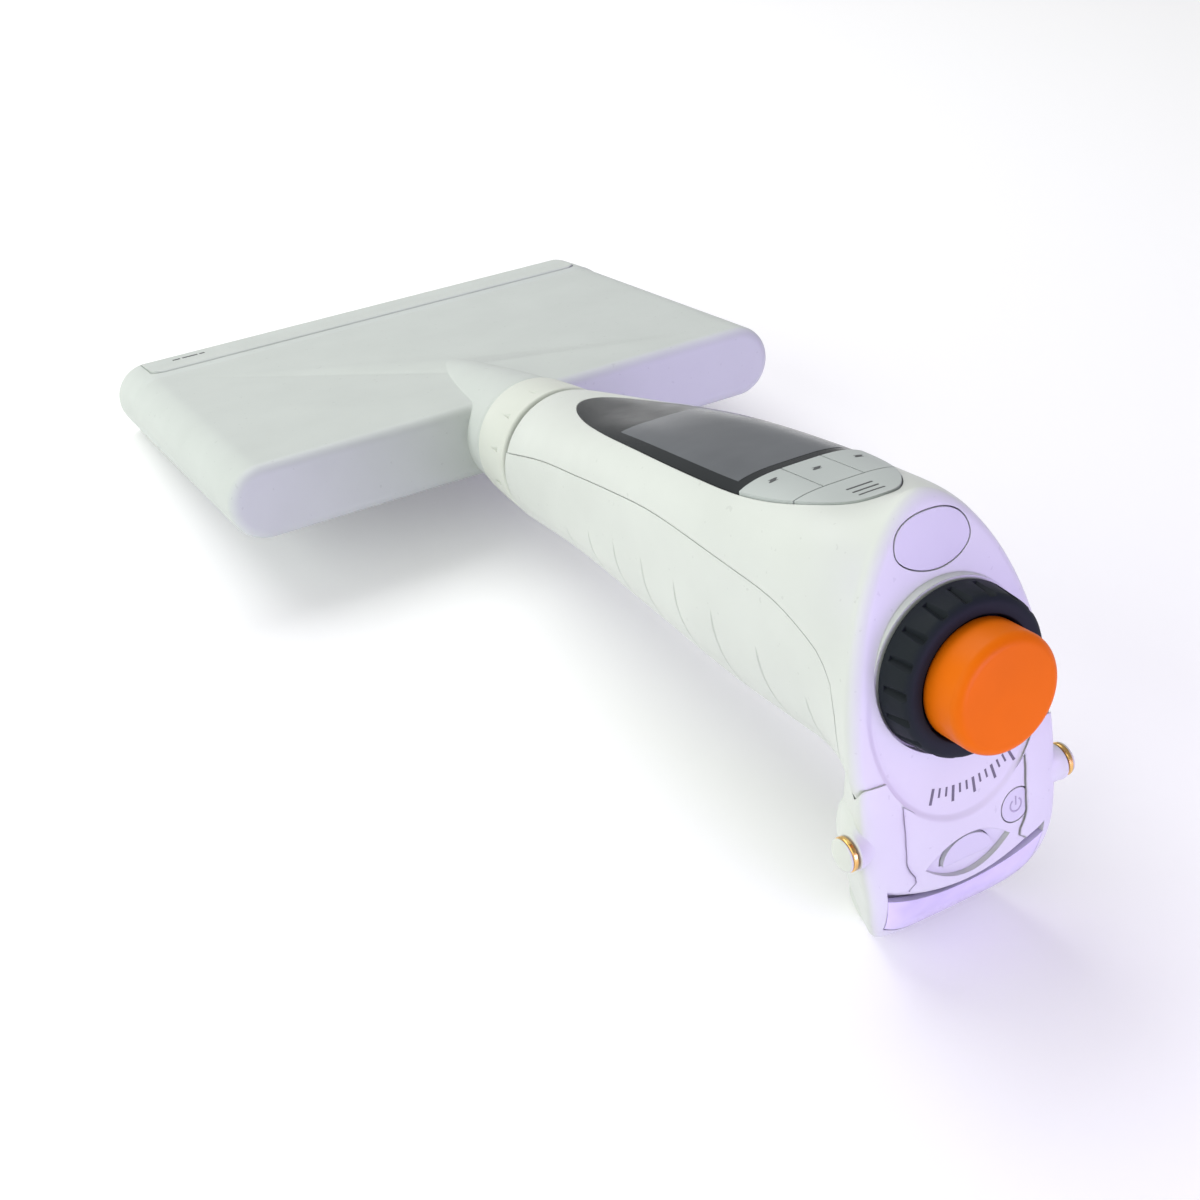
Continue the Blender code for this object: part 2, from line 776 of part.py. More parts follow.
def tip_ejector(root):
    """A strip with skirts front and back, whose raised lip falls to the tip edge, and a hole for each cone."""
    half_z = HEAD_DEPTH / 2
    low = HEAD_HEIGHT - EJECTOR_DEPTH
    inner = half_z - WALL
    profile = [
        (low, half_z + EJECTOR_LIP * 0.45),
        (low + EJECTOR_LIP * 0.3, half_z + EJECTOR_LIP * 0.85),
        (low + EJECTOR_LIP, half_z + EJECTOR_LIP),
        (HEAD_HEIGHT - TIP_EDGE, half_z),
        (HEAD_HEIGHT - 0.3 * TIP_EDGE, half_z - 0.3 * TIP_EDGE),
        (HEAD_HEIGHT, half_z - TIP_EDGE),
    ]
    inside = [(HEAD_HEIGHT - EJECTOR_PLATE, inner), (low, inner)]
    outline = profile + [(y, -z) for y, z in reversed(profile)]
    outline += [(y, -z) for y, z in reversed(inside)] + inside
    strip = add_object("tip_ejector", prism(outline, -EJECTOR_HALF, EJECTOR_HALF, "X"), head_white(), root)
    corners = rounded_outline([
        (EJECTOR_HALF, low, EJECTOR_CORNER),
        (EJECTOR_HALF, HEAD_HEIGHT + 0.004, 0.0),
        (-EJECTOR_HALF, HEAD_HEIGHT + 0.004, 0.0),
        (-EJECTOR_HALF, low, EJECTOR_CORNER),
    ])
    shape = add_object("ejector_shape", prism(corners, -0.012, 0.012, "Z"), root=root)
    boolean(strip, shape, "INTERSECT")
    start = HEAD_HEIGHT - 0.005
    end = HEAD_HEIGHT + 0.003
    holes = [rod(start, end, CONE_RADIUS + 2 * GAP, CONE_SIDES, (x, 0.0)) for x in channel_places()]
    boolean(strip, add_object("cone_holes", joined(holes), root=root))


def nozzle_plate(root):
    half_z = HEAD_DEPTH / 2 - WALL - GAP
    half_x = HEAD_WIDTH / 2 - WALL - GAP
    end = PLATE_START + PLATE_DEPTH
    rings = [slab_ring(PLATE_START, half_x, half_z), slab_ring(end, half_x, half_z)]
    plate = add_object("nozzle_plate", skin_rings(rings), inner_plastic(), root)
    bores = [rod(PLATE_START - 0.002, end + 0.002, CONE_BORE, 8, (x, 0.0)) for x in channel_places()]
    bores += [rod(PLATE_START - 0.002, end + 0.002, GUIDE_RADIUS + GAP, 10, (x, 0.0))
              for x in guide_places().values()]
    boolean(plate, add_object("plate_bores", joined(bores), root=root))


def tip_cones(root):
    """Twelve hollow cones, each seated on the nozzle plate by its flange."""
    seat = PLATE_START + PLATE_DEPTH + GAP
    end = HEAD_HEIGHT + CONE_REACH
    profile = [
        (seat, CONE_BORE),
        (seat, CONE_FLANGE_RADIUS),
        (seat + CONE_FLANGE_THICKNESS, CONE_FLANGE_RADIUS),
        (seat + CONE_FLANGE_THICKNESS, CONE_RADIUS),
        (end - CONE_TAPER, CONE_RADIUS),
        (end, CONE_TIP_RADIUS),
        (end, CONE_BORE),
    ]
    for number, x in enumerate(channel_places(), 1):
        body = turned(profile, CONE_SIDES, (x, 0.0), closed=True)
        add_object(f"tip_cone_{number:02d}", body, cone_plastic(), root, (x, seat, 0.0))


def joined(bodies):
    """One mesh of several bodies, for a cutter or for a union."""
    whole = bmesh.new()
    for body in bodies:
        mesh = bpy.data.meshes.new("body")
        body.to_mesh(mesh)
        body.free()
        whole.from_mesh(mesh)
        bpy.data.meshes.remove(mesh)
    return whole


def guide_places():
    """The guide rods pass between the last two channels on each side."""
    place = (CHANNELS / 2 - 1) * PITCH
    return {"left": -place, "right": place}


def piston_rack(root):
    half_x = (CHANNELS - 1) * PITCH / 2 + 0.0045
    half_z = HEAD_DEPTH / 2 - WALL - 0.0007
    outline = rack_outline(half_x, half_z, half_z * 0.6)
    rest = (0.0, RACK_REST, 0.0)
    bar = prism(outline, RACK_REST, RACK_REST + RACK_DEPTH, "Y")
    rack = add_object("piston_rack", bar, inner_plastic(), root, rest)
    shaft = add_object("push_rod", rod(ROD_END, RACK_REST + 0.001, ROD_RADIUS, 24), root=root)
    boolean(rack, shaft, "UNION")
    end = PLATE_START + PISTON_REACH
    pins = [rod(RACK_REST + 0.002, end, PISTON_RADIUS, 6, (x, 0.0)) for x in channel_places()]
    boolean(rack, add_object("pistons", joined(pins), root=root), "UNION")
    holes = [rod(RACK_REST - 0.002, RACK_REST + RACK_DEPTH + 0.002, GUIDE_RADIUS + GAP, 12, (x, 0.0))
             for x in guide_places().values()]
    holes.append(rod(ROD_END - 0.004, SCREW_TIP + PISTON_STROKE + 0.001, ROD_BORE, 20))
    boolean(rack, add_object("rack_holes", joined(holes), root=root))


def guide_rods(root):
    end = HEAD_HEIGHT - EJECTOR_PLATE - GAP
    for side, x in guide_places().items():
        body = rod(GUIDE_START, end, GUIDE_RADIUS, 12, (x, 0.0))
        add_object(f"guide_rod_{side}", body, steel(), root)


def coupling_ring(root):
    """The ring that locks the head, with grip nicks round its outside."""
    rim = RING_RADIUS + RING_GROWTH
    inner = TUBE_RADIUS + GAP
    profile = [
        (RING_START, inner),
        (RING_START, RING_RADIUS - 0.0006),
        (RING_START - 0.0006, RING_RADIUS),
        ((RING_START + RING_END) / 2, RING_RADIUS + RING_GROWTH * 0.6),
        (RING_END + 0.0007, rim),
        (RING_END, rim - 0.0007),
        (RING_END, inner),
    ]
    middle = (RING_START + RING_END) / 2
    ring = add_object("coupling_ring", turned(profile, 32, closed=True), ring_white(), root, (0.0, middle, 0.0))
    nicks = []
    for i in range(RING_NICKS):
        turn = 2 * math.pi * (i + 0.5) / RING_NICKS
        dent = bmesh.new()
        bmesh.ops.create_cone(dent, cap_ends=True, segments=6, radius1=0.0010, radius2=0.0010, depth=0.0045)
        bmesh.ops.rotate(dent, cent=(0, 0, 0), verts=dent.verts, matrix=Matrix.Rotation(math.pi / 2, 3, "X"))
        place = Vector(((rim + 0.00045) * math.cos(turn), middle - 0.0022, (rim + 0.00045) * math.sin(turn)))
        bmesh.ops.translate(dent, verts=dent.verts, vec=place)
        nicks.append(dent)
    boolean(ring, add_object("ring_nicks", joined(nicks), root=root))


def swivel_bush(root):
    """The plain bearing that the head turns in."""
    inner = TUBE_RADIUS + GAP
    start = TUBE_END + 0.0018 + GAP
    collar = NECK_RADIUS - WALL - GAP
    profile = [
        (start, inner),
        (start, inner + 0.0009),
        (NECK_END - 0.0022, inner + 0.0009),
        (NECK_END - 0.0022, collar),
        (NECK_END - 0.0006, collar),
        (NECK_END - 0.0006, inner),
    ]
    add_object("swivel_bush", turned(profile, 24, closed=True), inner_plastic(), root)


def shell_copy(blank):
    bm = bmesh.new()
    bm.from_mesh(blank.data)
    return bm


def upper_shell(root, blank, cuts):
    """Display side of the handle and its end face, moulded in one piece."""
    shell = add_object("upper_shell", shell_copy(blank), shell_white(), root)
    seam = add_object("seam_cut", prism(seam_outline(0.0), -0.03, 0.03, "X"), root=root)
    boolean(shell, seam)
    inset = add_object("inset_cut", prism(inset_outline(), 0.0065, 0.035, "Z"), root=root)
    boolean(shell, inset)
    for cut in cuts:
        boolean(shell, cut)


def skin_radius(y, angle, outline):
    """Distance from the middle of the handle to its skin, also in the flare before the end face."""
    radius = handle_radius(y, angle, 0.0)
    if y < FLARE_START:
        reach = radius_toward(outline, angle, WHEEL_Z)
        share = min(1.0, (FLARE_START - y) / (FLARE_START - rim_y(angle, reach)))
        radius += (reach - radius) * share**FLARE_EASE
    return radius


def rib_cutter(number, side):
    """A groove that runs down round the grip from its top end, following the skin."""
    outline = mirrored(face_outline())
    y = RIB_STARTS[number]
    top = RIB_TOPS[number]
    bm = bmesh.new()
    rows = []
    steps = 5
    for k in range(steps + 1):
        share = k / steps
        middle = polar_centre(y)
        low = smooth_value(STATIONS, BOTTOMS, y) + 0.0008
        z = top + (low - top) * share
        along = y - RIB_SLANT * share * share
        angle = math.atan2(z - middle, 0.0148 * math.sqrt(max(0.02, 1 - ((z - middle) / (low - middle)) ** 2)))
        radius = skin_radius(along, angle, outline)
        out = Vector((side * math.cos(angle), 0.0, math.sin(angle)))
        centre = Vector((side * radius * math.cos(angle), along, middle + radius * math.sin(angle)))
        depth = RIB_DEPTH * min(1.0, 4 * share + 0.15, 4 * (1 - share) + 0.15)
        half = RIB_WIDTH / 2
        rows.append([
            bm.verts.new(centre - out * depth),
            bm.verts.new(centre + out * 0.0006 + Vector((0.0, half * 1.8, 0.0))),
            bm.verts.new(centre + out * 0.0006 - Vector((0.0, half, 0.0))),
        ])
    for a, b in zip(rows, rows[1:]):
        for i in range(3):
            bm.faces.new((a[i], a[(i + 1) % 3], b[(i + 1) % 3], b[i]))
    bm.faces.new(rows[0])
    bm.faces.new(rows[-1])
    bmesh.ops.recalc_face_normals(bm, faces=bm.faces)
    return bm


def grip_shell(root, blank):
    """Lower side of the handle, with slanted grip grooves."""
    shell = add_object("grip_shell", shell_copy(blank), shell_white(), root)
    seam = add_object("seam_keep", prism(seam_outline(-GAP), -0.03, 0.03, "X"), root=root)
    boolean(shell, seam, "INTERSECT")
    ribs = [rib_cutter(n, side) for n in range(len(RIB_STARTS)) for side in (1, -1)]
    boolean(shell, add_object("rib_cuts", joined(ribs), root=root))


def display_lens(root, blank):
    keep = add_object("lens_keep", box((-0.02, KEY_LINE, 0.0), (0.02, 0.0, 0.04)), root=root)
    lens = add_object("display_lens", prism(inset_outline(KEY_GAP), 0.0065, 0.035, "Z"), lens_dark(), root)
    boolean(lens, blank, "INTERSECT")
    boolean(lens, keep, "INTERSECT")


def soft_keys(root, raised):
    """Three soft keys and the menu key, cut from a casing raised above the shell."""
    for part, name in (("left", "soft_key_left"), ("middle", "soft_key_middle"),
                       ("right", "soft_key_right"), ("menu", "menu_key")):
        span = key_outline(part, KEY_GAP / 2)
        centre_x = 0.0 if part in ("middle", "menu") else math.copysign(KEY_SPLIT * 2, span[0][0])
        centre_y = (span[0][1] + max(span[2][1], INSET_END)) / 2
        at = (centre_x, centre_y, top_height(centre_x, centre_y, 0.0))
        key = add_object(name, prism(inset_outline(KEY_GAP), 0.0065, 0.035, "Z"), shell_white(), root, at)
        boolean(key, raised, "INTERSECT")
        boolean(key, add_object(f"{name}_keep", prism(span, 0.0, 0.04, "Z"), root=root), "INTERSECT")


def top_height(x, y, inset):
    """Height of the handle's top skin at x."""
    middle = polar_centre(y)
    width = smooth_value(STATIONS, HALF_WIDTHS, y) - inset
    height = smooth_value(STATIONS, TOPS, y) - inset - middle
    share = min(1.0, (NECK_END - y) / 0.030)
    power = 2 + (TOP_FULLNESS - 2) * share
    return middle + height * (1 - (abs(x) / width) ** power) ** (1 / power)


def eject_key_outline(shrink):
    """A rounded pick: flatter above its widest line than below it."""
    half = []
    steps = 14
    for i in range(steps + 1):
        turn = math.pi / 2 - math.pi * i / steps
        if turn > 0:
            power, height = 2.3, EJECT_KEY_UP
        else:
            power, height = 1.85, EJECT_KEY_DOWN
        x = (EJECT_KEY_HALF - shrink) * abs(math.cos(turn)) ** (2 / power)
        z = (height - shrink) * abs(math.sin(turn)) ** (2 / power)
        half.append((x, EJECT_KEY_Z + math.copysign(z, turn)))
    half[0] = (0.0, half[0][1])
    half[-1] = (0.0, half[-1][1])
    return mirrored(half)


def circle(x, z, radius, steps=24):
    return [(x + radius * math.cos(2 * math.pi * i / steps), z + radius * math.sin(2 * math.pi * i / steps))
            for i in range(steps)]


def leaf_outline():
    """A pointed leaf from two arcs of parabolas."""
    steps = 8
    upper = []
    for i in range(steps + 1):
        x = -LEAF_HALF + 2 * LEAF_HALF * i / steps
        upper.append((x, LEAF_Z + LEAF_HEIGHT * (1 - (x / LEAF_HALF) ** 2)))
    lower = [(x, 2 * LEAF_Z - z) for x, z in reversed(upper[1:-1])]
    return upper + lower


def latch_outline(shrink):
    """The tab: a half oval with a flat foot, from its left end over the top to its right end."""
    steps = 12
    foot = LATCH_FOOT + shrink
    height = LATCH_HEIGHT - 2 * shrink
    half = LATCH_HALF - shrink
    turns = [math.pi * (1 - i / steps) for i in range(steps + 1)]
    return [(half * math.cos(turn), foot + height * math.sin(turn)) for turn in turns]


def face_cuts(root):
    """The holes in the end face for its keys and its latch, and the leaf recess."""
    front = FACE_Y - 0.005
    cuts = []
    hole_end = face_y(0.0, EJECT_KEY_Z + EJECT_KEY_UP) + WALL + EJECT_KEY_TRAVEL + 2 * GAP
    outline = eject_key_outline(0.0)
    cuts.append(add_object("eject_key_hole", prism(outline, front, hole_end, "Y"), root=root))
    hole_end = face_y(POWER_KEY_X, POWER_KEY_Z) + WALL + POWER_KEY_TRAVEL + 2 * GAP
    outline = circle(POWER_KEY_X, POWER_KEY_Z, POWER_KEY_RADIUS + KEY_GAP)
    cuts.append(add_object("power_key_hole", prism(outline, front, hole_end, "Y"), root=root))
    floor = face_y(0.0, LEAF_Z) + LEAF_DEPTH
    cuts.append(add_object("leaf_recess", prism(leaf_outline(), front, floor, "Y"), root=root))
    hole_end = face_y(0.0, LEAF_Z) + WALL + LATCH_TRAVEL + 2 * GAP
    outline = latch_outline(0.0)
    cuts.append(add_object("latch_hole", prism(outline, front, hole_end, "Y"), root=root))
    return cuts


def face_keys(root, blank):
    """Tip-eject key, power key and cover latch, flush in the end face."""
    front = FACE_Y - 0.005
    hole_end = face_y(0.0, EJECT_KEY_Z + EJECT_KEY_UP) + WALL
    at = (0.0, face_y(0.0, EJECT_KEY_Z), EJECT_KEY_Z)
    body = prism(eject_key_outline(KEY_GAP), front, hole_end, "Y")
    key = add_object("tip_eject_key", body, shell_white(), root, at)
    boolean(key, blank, "INTERSECT")
    stem_end = END_BOARD_Y - EJECT_KEY_TRAVEL - GAP
    stem = box((-0.0016, at[1] + 0.0006, EJECT_KEY_Z - 0.0026), (0.0016, stem_end, EJECT_KEY_Z - 0.0006))
    boolean(key, add_object("eject_stem", stem, root=root), "UNION")
    at = (POWER_KEY_X, face_y(POWER_KEY_X, POWER_KEY_Z), POWER_KEY_Z)
    body = prism(circle(POWER_KEY_X, POWER_KEY_Z, POWER_KEY_RADIUS), front, at[1] + WALL + 0.0004, "Y")
    key = add_object("power_key", body, shell_white(), root, at)
    boolean(key, blank, "INTERSECT")
    at = (0.0, face_y(0.0, LEAF_Z), LEAF_Z)
    body = prism(latch_outline(KEY_GAP), at[1] + 0.0003, at[1] + WALL, "Y")
    latch = add_object("cover_latch", body, shell_white(), root, at)
    round_edges(latch, 0.0002, 1, 60.0)


def adjust_wheel(root):
    """Wheel with a hub through the end face, a flange behind it and grip nicks on its side."""
    front = WHEEL_BASE - WHEEL_DEPTH
    mouth = CAP_RADIUS + GAP
    floor = WHEEL_BASE - 0.0013
    stem = STEM_RADIUS + GAP
    behind = ENCODER_END + GAP
    profile = [
        (WHEEL_BASE, HUB_RADIUS),
        (WHEEL_BASE, WHEEL_RADIUS - 0.0003),
        (WHEEL_BASE - 0.0004, WHEEL_RADIUS),
        (front + 0.0012, WHEEL_FRONT_RADIUS + 0.0001),
        (front + 0.0004, WHEEL_FRONT_RADIUS - 0.0003),
        (front, WHEEL_FRONT_RADIUS - 0.0011),
        (front, mouth + 0.0006),
        (front + 0.0005, mouth),
        (floor, mouth),
        (floor, stem),
        (HUB_END, stem),
        (HUB_END, HUB_RADIUS + 0.0008),
        (behind, HUB_RADIUS + 0.0008),
        (behind, HUB_RADIUS),
    ]
    at = (0.0, WHEEL_BASE, WHEEL_Z)
    body = turned(profile[::-1], 36, (0.0, WHEEL_Z), closed=True)
    wheel = add_object("adjust_wheel", body, black_rubber(), root, at)
    nicks = []
    for i in range(WHEEL_NICKS):
        turn = 2 * math.pi * i / WHEEL_NICKS
        dent = bmesh.new()
        bmesh.ops.create_cone(dent, cap_ends=True, segments=4, radius1=0.4, radius2=1.0, depth=2.0)
        bmesh.ops.rotate(dent, cent=(0, 0, 0), verts=dent.verts, matrix=Matrix.Rotation(math.pi / 2, 3, "X"))
        bmesh.ops.scale(dent, vec=(0.0006, 0.0014, 0.0008), verts=dent.verts)
        bmesh.ops.rotate(dent, cent=(0, 0, 0), verts=dent.verts, matrix=Matrix.Rotation(turn, 3, "Y"))
        reach = WHEEL_RADIUS + 0.0001
        place = Vector((reach * math.cos(turn), WHEEL_BASE - WHEEL_DEPTH * 0.56, WHEEL_Z - reach * math.sin(turn)))
        bmesh.ops.translate(dent, verts=dent.verts, vec=place)
        nicks.append(dent)
    boolean(wheel, add_object("wheel_nicks", joined(nicks), root=root))


def operating_button(root):
    profile = [(CAP_BASE, STEM_RADIUS), (STEM_END, STEM_RADIUS)]
    cap = []
    steps = 4
    for k in range(steps + 1):
        turn = math.pi / 2 * k / steps
        radius = CAP_RADIUS - CAP_EDGE * (1 - math.sin(turn))
        cap.append((CAP_FRONT + CAP_EDGE * (1 - math.cos(turn)), radius))
    crown = [(CAP_FRONT - 0.0002, CAP_RADIUS * 0.4)]
    body = turned(crown + cap + [(CAP_BASE, CAP_RADIUS)] + profile, 32, (0.0, WHEEL_Z))
    add_object("operating_button", body, orange(), root, (0.0, CAP_FRONT, WHEEL_Z))


def wheel_encoder(root):
    start = face_y(0.0, WHEEL_Z + ENCODER_RADIUS) + WALL + GAP
    body = pipe(start, ENCODER_END, ENCODER_RADIUS, HUB_RADIUS + GAP, 24, (0.0, WHEEL_Z))
    add_object("wheel_encoder", body, board_green(), root)


def hook_stations():
    """Outer and inner point of the hook in the (y, z) plane, with its half width, from top to tip."""
    stations = []
    for z, back, half in (
        (HOOK_TOP, -0.1245, 0.97),
        (-0.0135, -0.1238, 0.985),
        (-0.0188, -0.1228, 0.99),
        (-0.0240, -0.1220, 0.99),
        (-0.0285, -0.1214, 0.955),
    ):
        stations.append(((face_y(0.0, z) + 0.0002, z), (back, z * 0.98), HOOK_WIDTH * half))
    drop = HOOK_BOTTOM
    tip = HOOK_TIP
    stations += [
        ((-0.1322, drop + 0.0083), (-0.1212, -0.0310), HOOK_WIDTH * 0.90),
        ((-0.1300, drop + 0.0043), (-0.1202, -0.0330), HOOK_WIDTH * 0.81),
        ((-0.1268, drop + 0.0013), (-0.1192, -0.0344), HOOK_WIDTH * 0.70),
        ((-0.1228, drop), (-0.1182, -0.0351), HOOK_WIDTH * 0.60),
        ((tip - 0.0036, drop + 0.0003), (-0.1172, -0.0353), HOOK_WIDTH * 0.54),
        ((tip - 0.0013, drop + 0.0015), (-0.1162, -0.0356), HOOK_TIP_HALF),
        ((tip, drop + 0.0034), (tip - 0.0003, -0.0366), HOOK_TIP_HALF * 0.86),
    ]
    return stations


def hook_rings(inset):
    rings = []
    sides = 24
    for outer, inner, half in hook_stations():
        out = Vector((0.0, *outer))
        back = Vector((0.0, *inner))
        centre = (out + back) / 2
        reach = (out - back).length / 2 - inset
        aim = (out - back).normalized()
        ring = []
        for i in range(sides):
            turn = 2 * math.pi * i / sides
            power = 2 / 4.2
            across = math.copysign(abs(math.cos(turn)) ** power, math.cos(turn))
            along = math.copysign(abs(math.sin(turn)) ** power, math.sin(turn))
            narrow = 1 - HOOK_TAPER * (1 - along) / 2
            ring.append(centre + aim * reach * along + Vector(((half - inset) * across * narrow, 0.0, 0.0)))
        rings.append(ring)
    return rings


def hook_block(root, name, inset):
    return add_object(name, skin_rings(hook_rings(inset)), root=root)


def window_outline(shrink, lift=0.0):
    """Strip under the end face's tongue, from its arc, raised by lift, down to the front of the hook."""
    steps = 8
    upper = []
    lower = []
    for i in range(steps + 1):
        share = 1 - 2 * i / steps
        x = WINDOW_HALF * share
        top = TONGUE_BOTTOM - TONGUE_SAG * (1 - (x / TONGUE_END_HALF) ** 2) - GAP
        upper.append(((WINDOW_HALF - shrink) * share, top - shrink + lift))
        drop = WINDOW_HEIGHT * (1 - 0.18 * share * share)
        lower.append(((WINDOW_HALF - 0.0008 - shrink) * share, top - drop + shrink))
    return upper + lower[::-1]


def pin_places():
    return {"left": -1, "right": 1}


def pin_body(profile, side, sides=20):
    """A body turned about the X line through the contact pins; its profile lists (distance, radius)."""
    rings = []
    for reach, radius in profile:
        ring = []
        for i in range(sides):
            turn = 2 * math.pi * i / sides
            y = PIN_Y + radius * math.cos(turn)
            z = PIN_Z + radius * math.sin(turn)
            ring.append(Vector((side * reach, y, z)))
        rings.append(ring)
    return skin_rings(rings)


def boss_body(profile, side, sides=20):
    """The flared boss of a contact pin; its profile lists distance, added radius and shift back."""
    rings = []
    for reach, growth, shift in profile:
        radius = PIN_BOSS_RADIUS + growth
        ring = []
        for i in range(sides):
            turn = 2 * math.pi * i / sides
            y = PIN_Y + shift + radius * math.cos(turn)
            ring.append(Vector((side * reach, y, PIN_Z + radius * math.sin(turn))))
        rings.append(ring)
    return skin_rings(rings)


def finger_hook(root, grown):
    """The hook behind the end face; its two wings carry the charging contacts."""
    hook = add_object("finger_hook", skin_rings(hook_rings(0.0)), shell_white(), root)
    dish = [(DISH_CLEARANCE * x, z) for x, z in dish_outline()]
    boolean(hook, add_object("dish_clear", prism(dish, -0.142, -0.127, "Y"), root=root))
    boss = [
        (PIN_BOSS_END - 0.0062, 0.0025, 0.0033),
        (PIN_BOSS_END - 0.0042, 0.0024, 0.0032),
        (PIN_BOSS_END - 0.0022, 0.0013, 0.0021),
        (PIN_BOSS_END - 0.0009, 0.0004, 0.0008),
        (PIN_BOSS_END - 0.0002, 0.0, 0.0),
        (PIN_BOSS_END, -0.0002, 0.0),
    ]
    bosses = joined([boss_body(boss, side) for side in pin_places().values()])
    boolean(hook, add_object("pin_bosses", bosses, root=root), "UNION")
    boolean(hook, grown)
    seat = [(PIN_BOSS_END - PIN_STEM - GAP, PIN_STEM_RADIUS + GAP), (0.025, PIN_STEM_RADIUS + GAP)]
    seats = [pin_body(seat, side, 14) for side in pin_places().values()]
    boolean(hook, add_object("pin_seats", joined(seats), root=root))
    depth = WINDOW_THICKNESS + CARD_THICKNESS + 2 * GAP
    opening = prism(window_outline(0.0, 0.0016), -0.142, WINDOW_BACK, "Y")
    pocket = add_object("window_pocket", opening, root=root)
    boolean(pocket, hook_block(root, "pocket_floor", depth))
    boolean(hook, pocket)


def label_window(root):
    strip = prism(window_outline(GAP), -0.142, WINDOW_BACK - GAP, "Y")
    window = add_object("label_window", strip, clear_plastic(), root)
    boolean(window, hook_block(root, "hook_skin", 0.0), "INTERSECT")
    boolean(window, hook_block(root, "window_back", WINDOW_THICKNESS))
    sheet = prism(window_outline(2 * GAP), -0.142, WINDOW_BACK - 2 * GAP, "Y")
    card = add_object("label_card", sheet, card_white(), root)
    front = WINDOW_THICKNESS + GAP
    boolean(card, hook_block(root, "card_front", front), "INTERSECT")
    boolean(card, hook_block(root, "card_back", front + CARD_THICKNESS))


def contact_pins(root):
    """Gold contact ring on its stem, and the white disc on its end, one of each per side."""
    for name, side in pin_places().items():
        start = PIN_BOSS_END + GAP
        ring_end = start + PIN_RING
        body = pin_body([
            (PIN_BOSS_END - PIN_STEM, PIN_STEM_RADIUS),
            (start, PIN_STEM_RADIUS),
            (start, PIN_RADIUS),
            (ring_end, PIN_RADIUS),
        ], side)
        add_object(f"contact_pin_{name}", body, gold(), root)
        disc_start = ring_end + PIN_DISC_GAP
        disc = pin_body([
            (disc_start, PIN_RADIUS - PIN_DISC_GAP),
            (disc_start + PIN_DISC * 0.5, PIN_RADIUS - PIN_DISC_GAP),
            (disc_start + PIN_DISC, PIN_RADIUS - PIN_DISC),
        ], side)
        add_object(f"contact_disc_{name}", disc, ring_white(), root)


def gear_outline(teeth):
    """Outline of a spur gear with straight-flanked teeth, as (x, z) points about its axis."""
    pitch = MODULE * teeth / 2
    tip = pitch + MODULE
    root_radius = pitch - 1.25 * MODULE
    points = []
    for i in range(teeth):
        for share, radius in ((-0.30, root_radius), (-0.14, tip), (0.14, tip), (0.30, root_radius)):
            turn = 2 * math.pi * (i + share) / teeth
            points.append((radius * math.cos(turn), radius * math.sin(turn)))
    return points


def gear_distance():
    return MODULE * (GEAR_TEETH + PINION_TEETH) / 2


def spur_gear(root, name, teeth, start, end, centre_z, bore, phase, paint):
    outline = []
    for x, z in gear_outline(teeth):
        cos = math.cos(phase)
        sin = math.sin(phase)
        outline.append((x * cos - z * sin, centre_z + x * sin + z * cos))
    gear = add_object(name, prism(outline, start, end, "Y"), paint, root, (0.0, start, centre_z))
    hole = rod(start - 0.002, end + 0.002, bore, 16, (0.0, centre_z))
    boolean(gear, add_object(f"{name}_bore", hole, root=root))


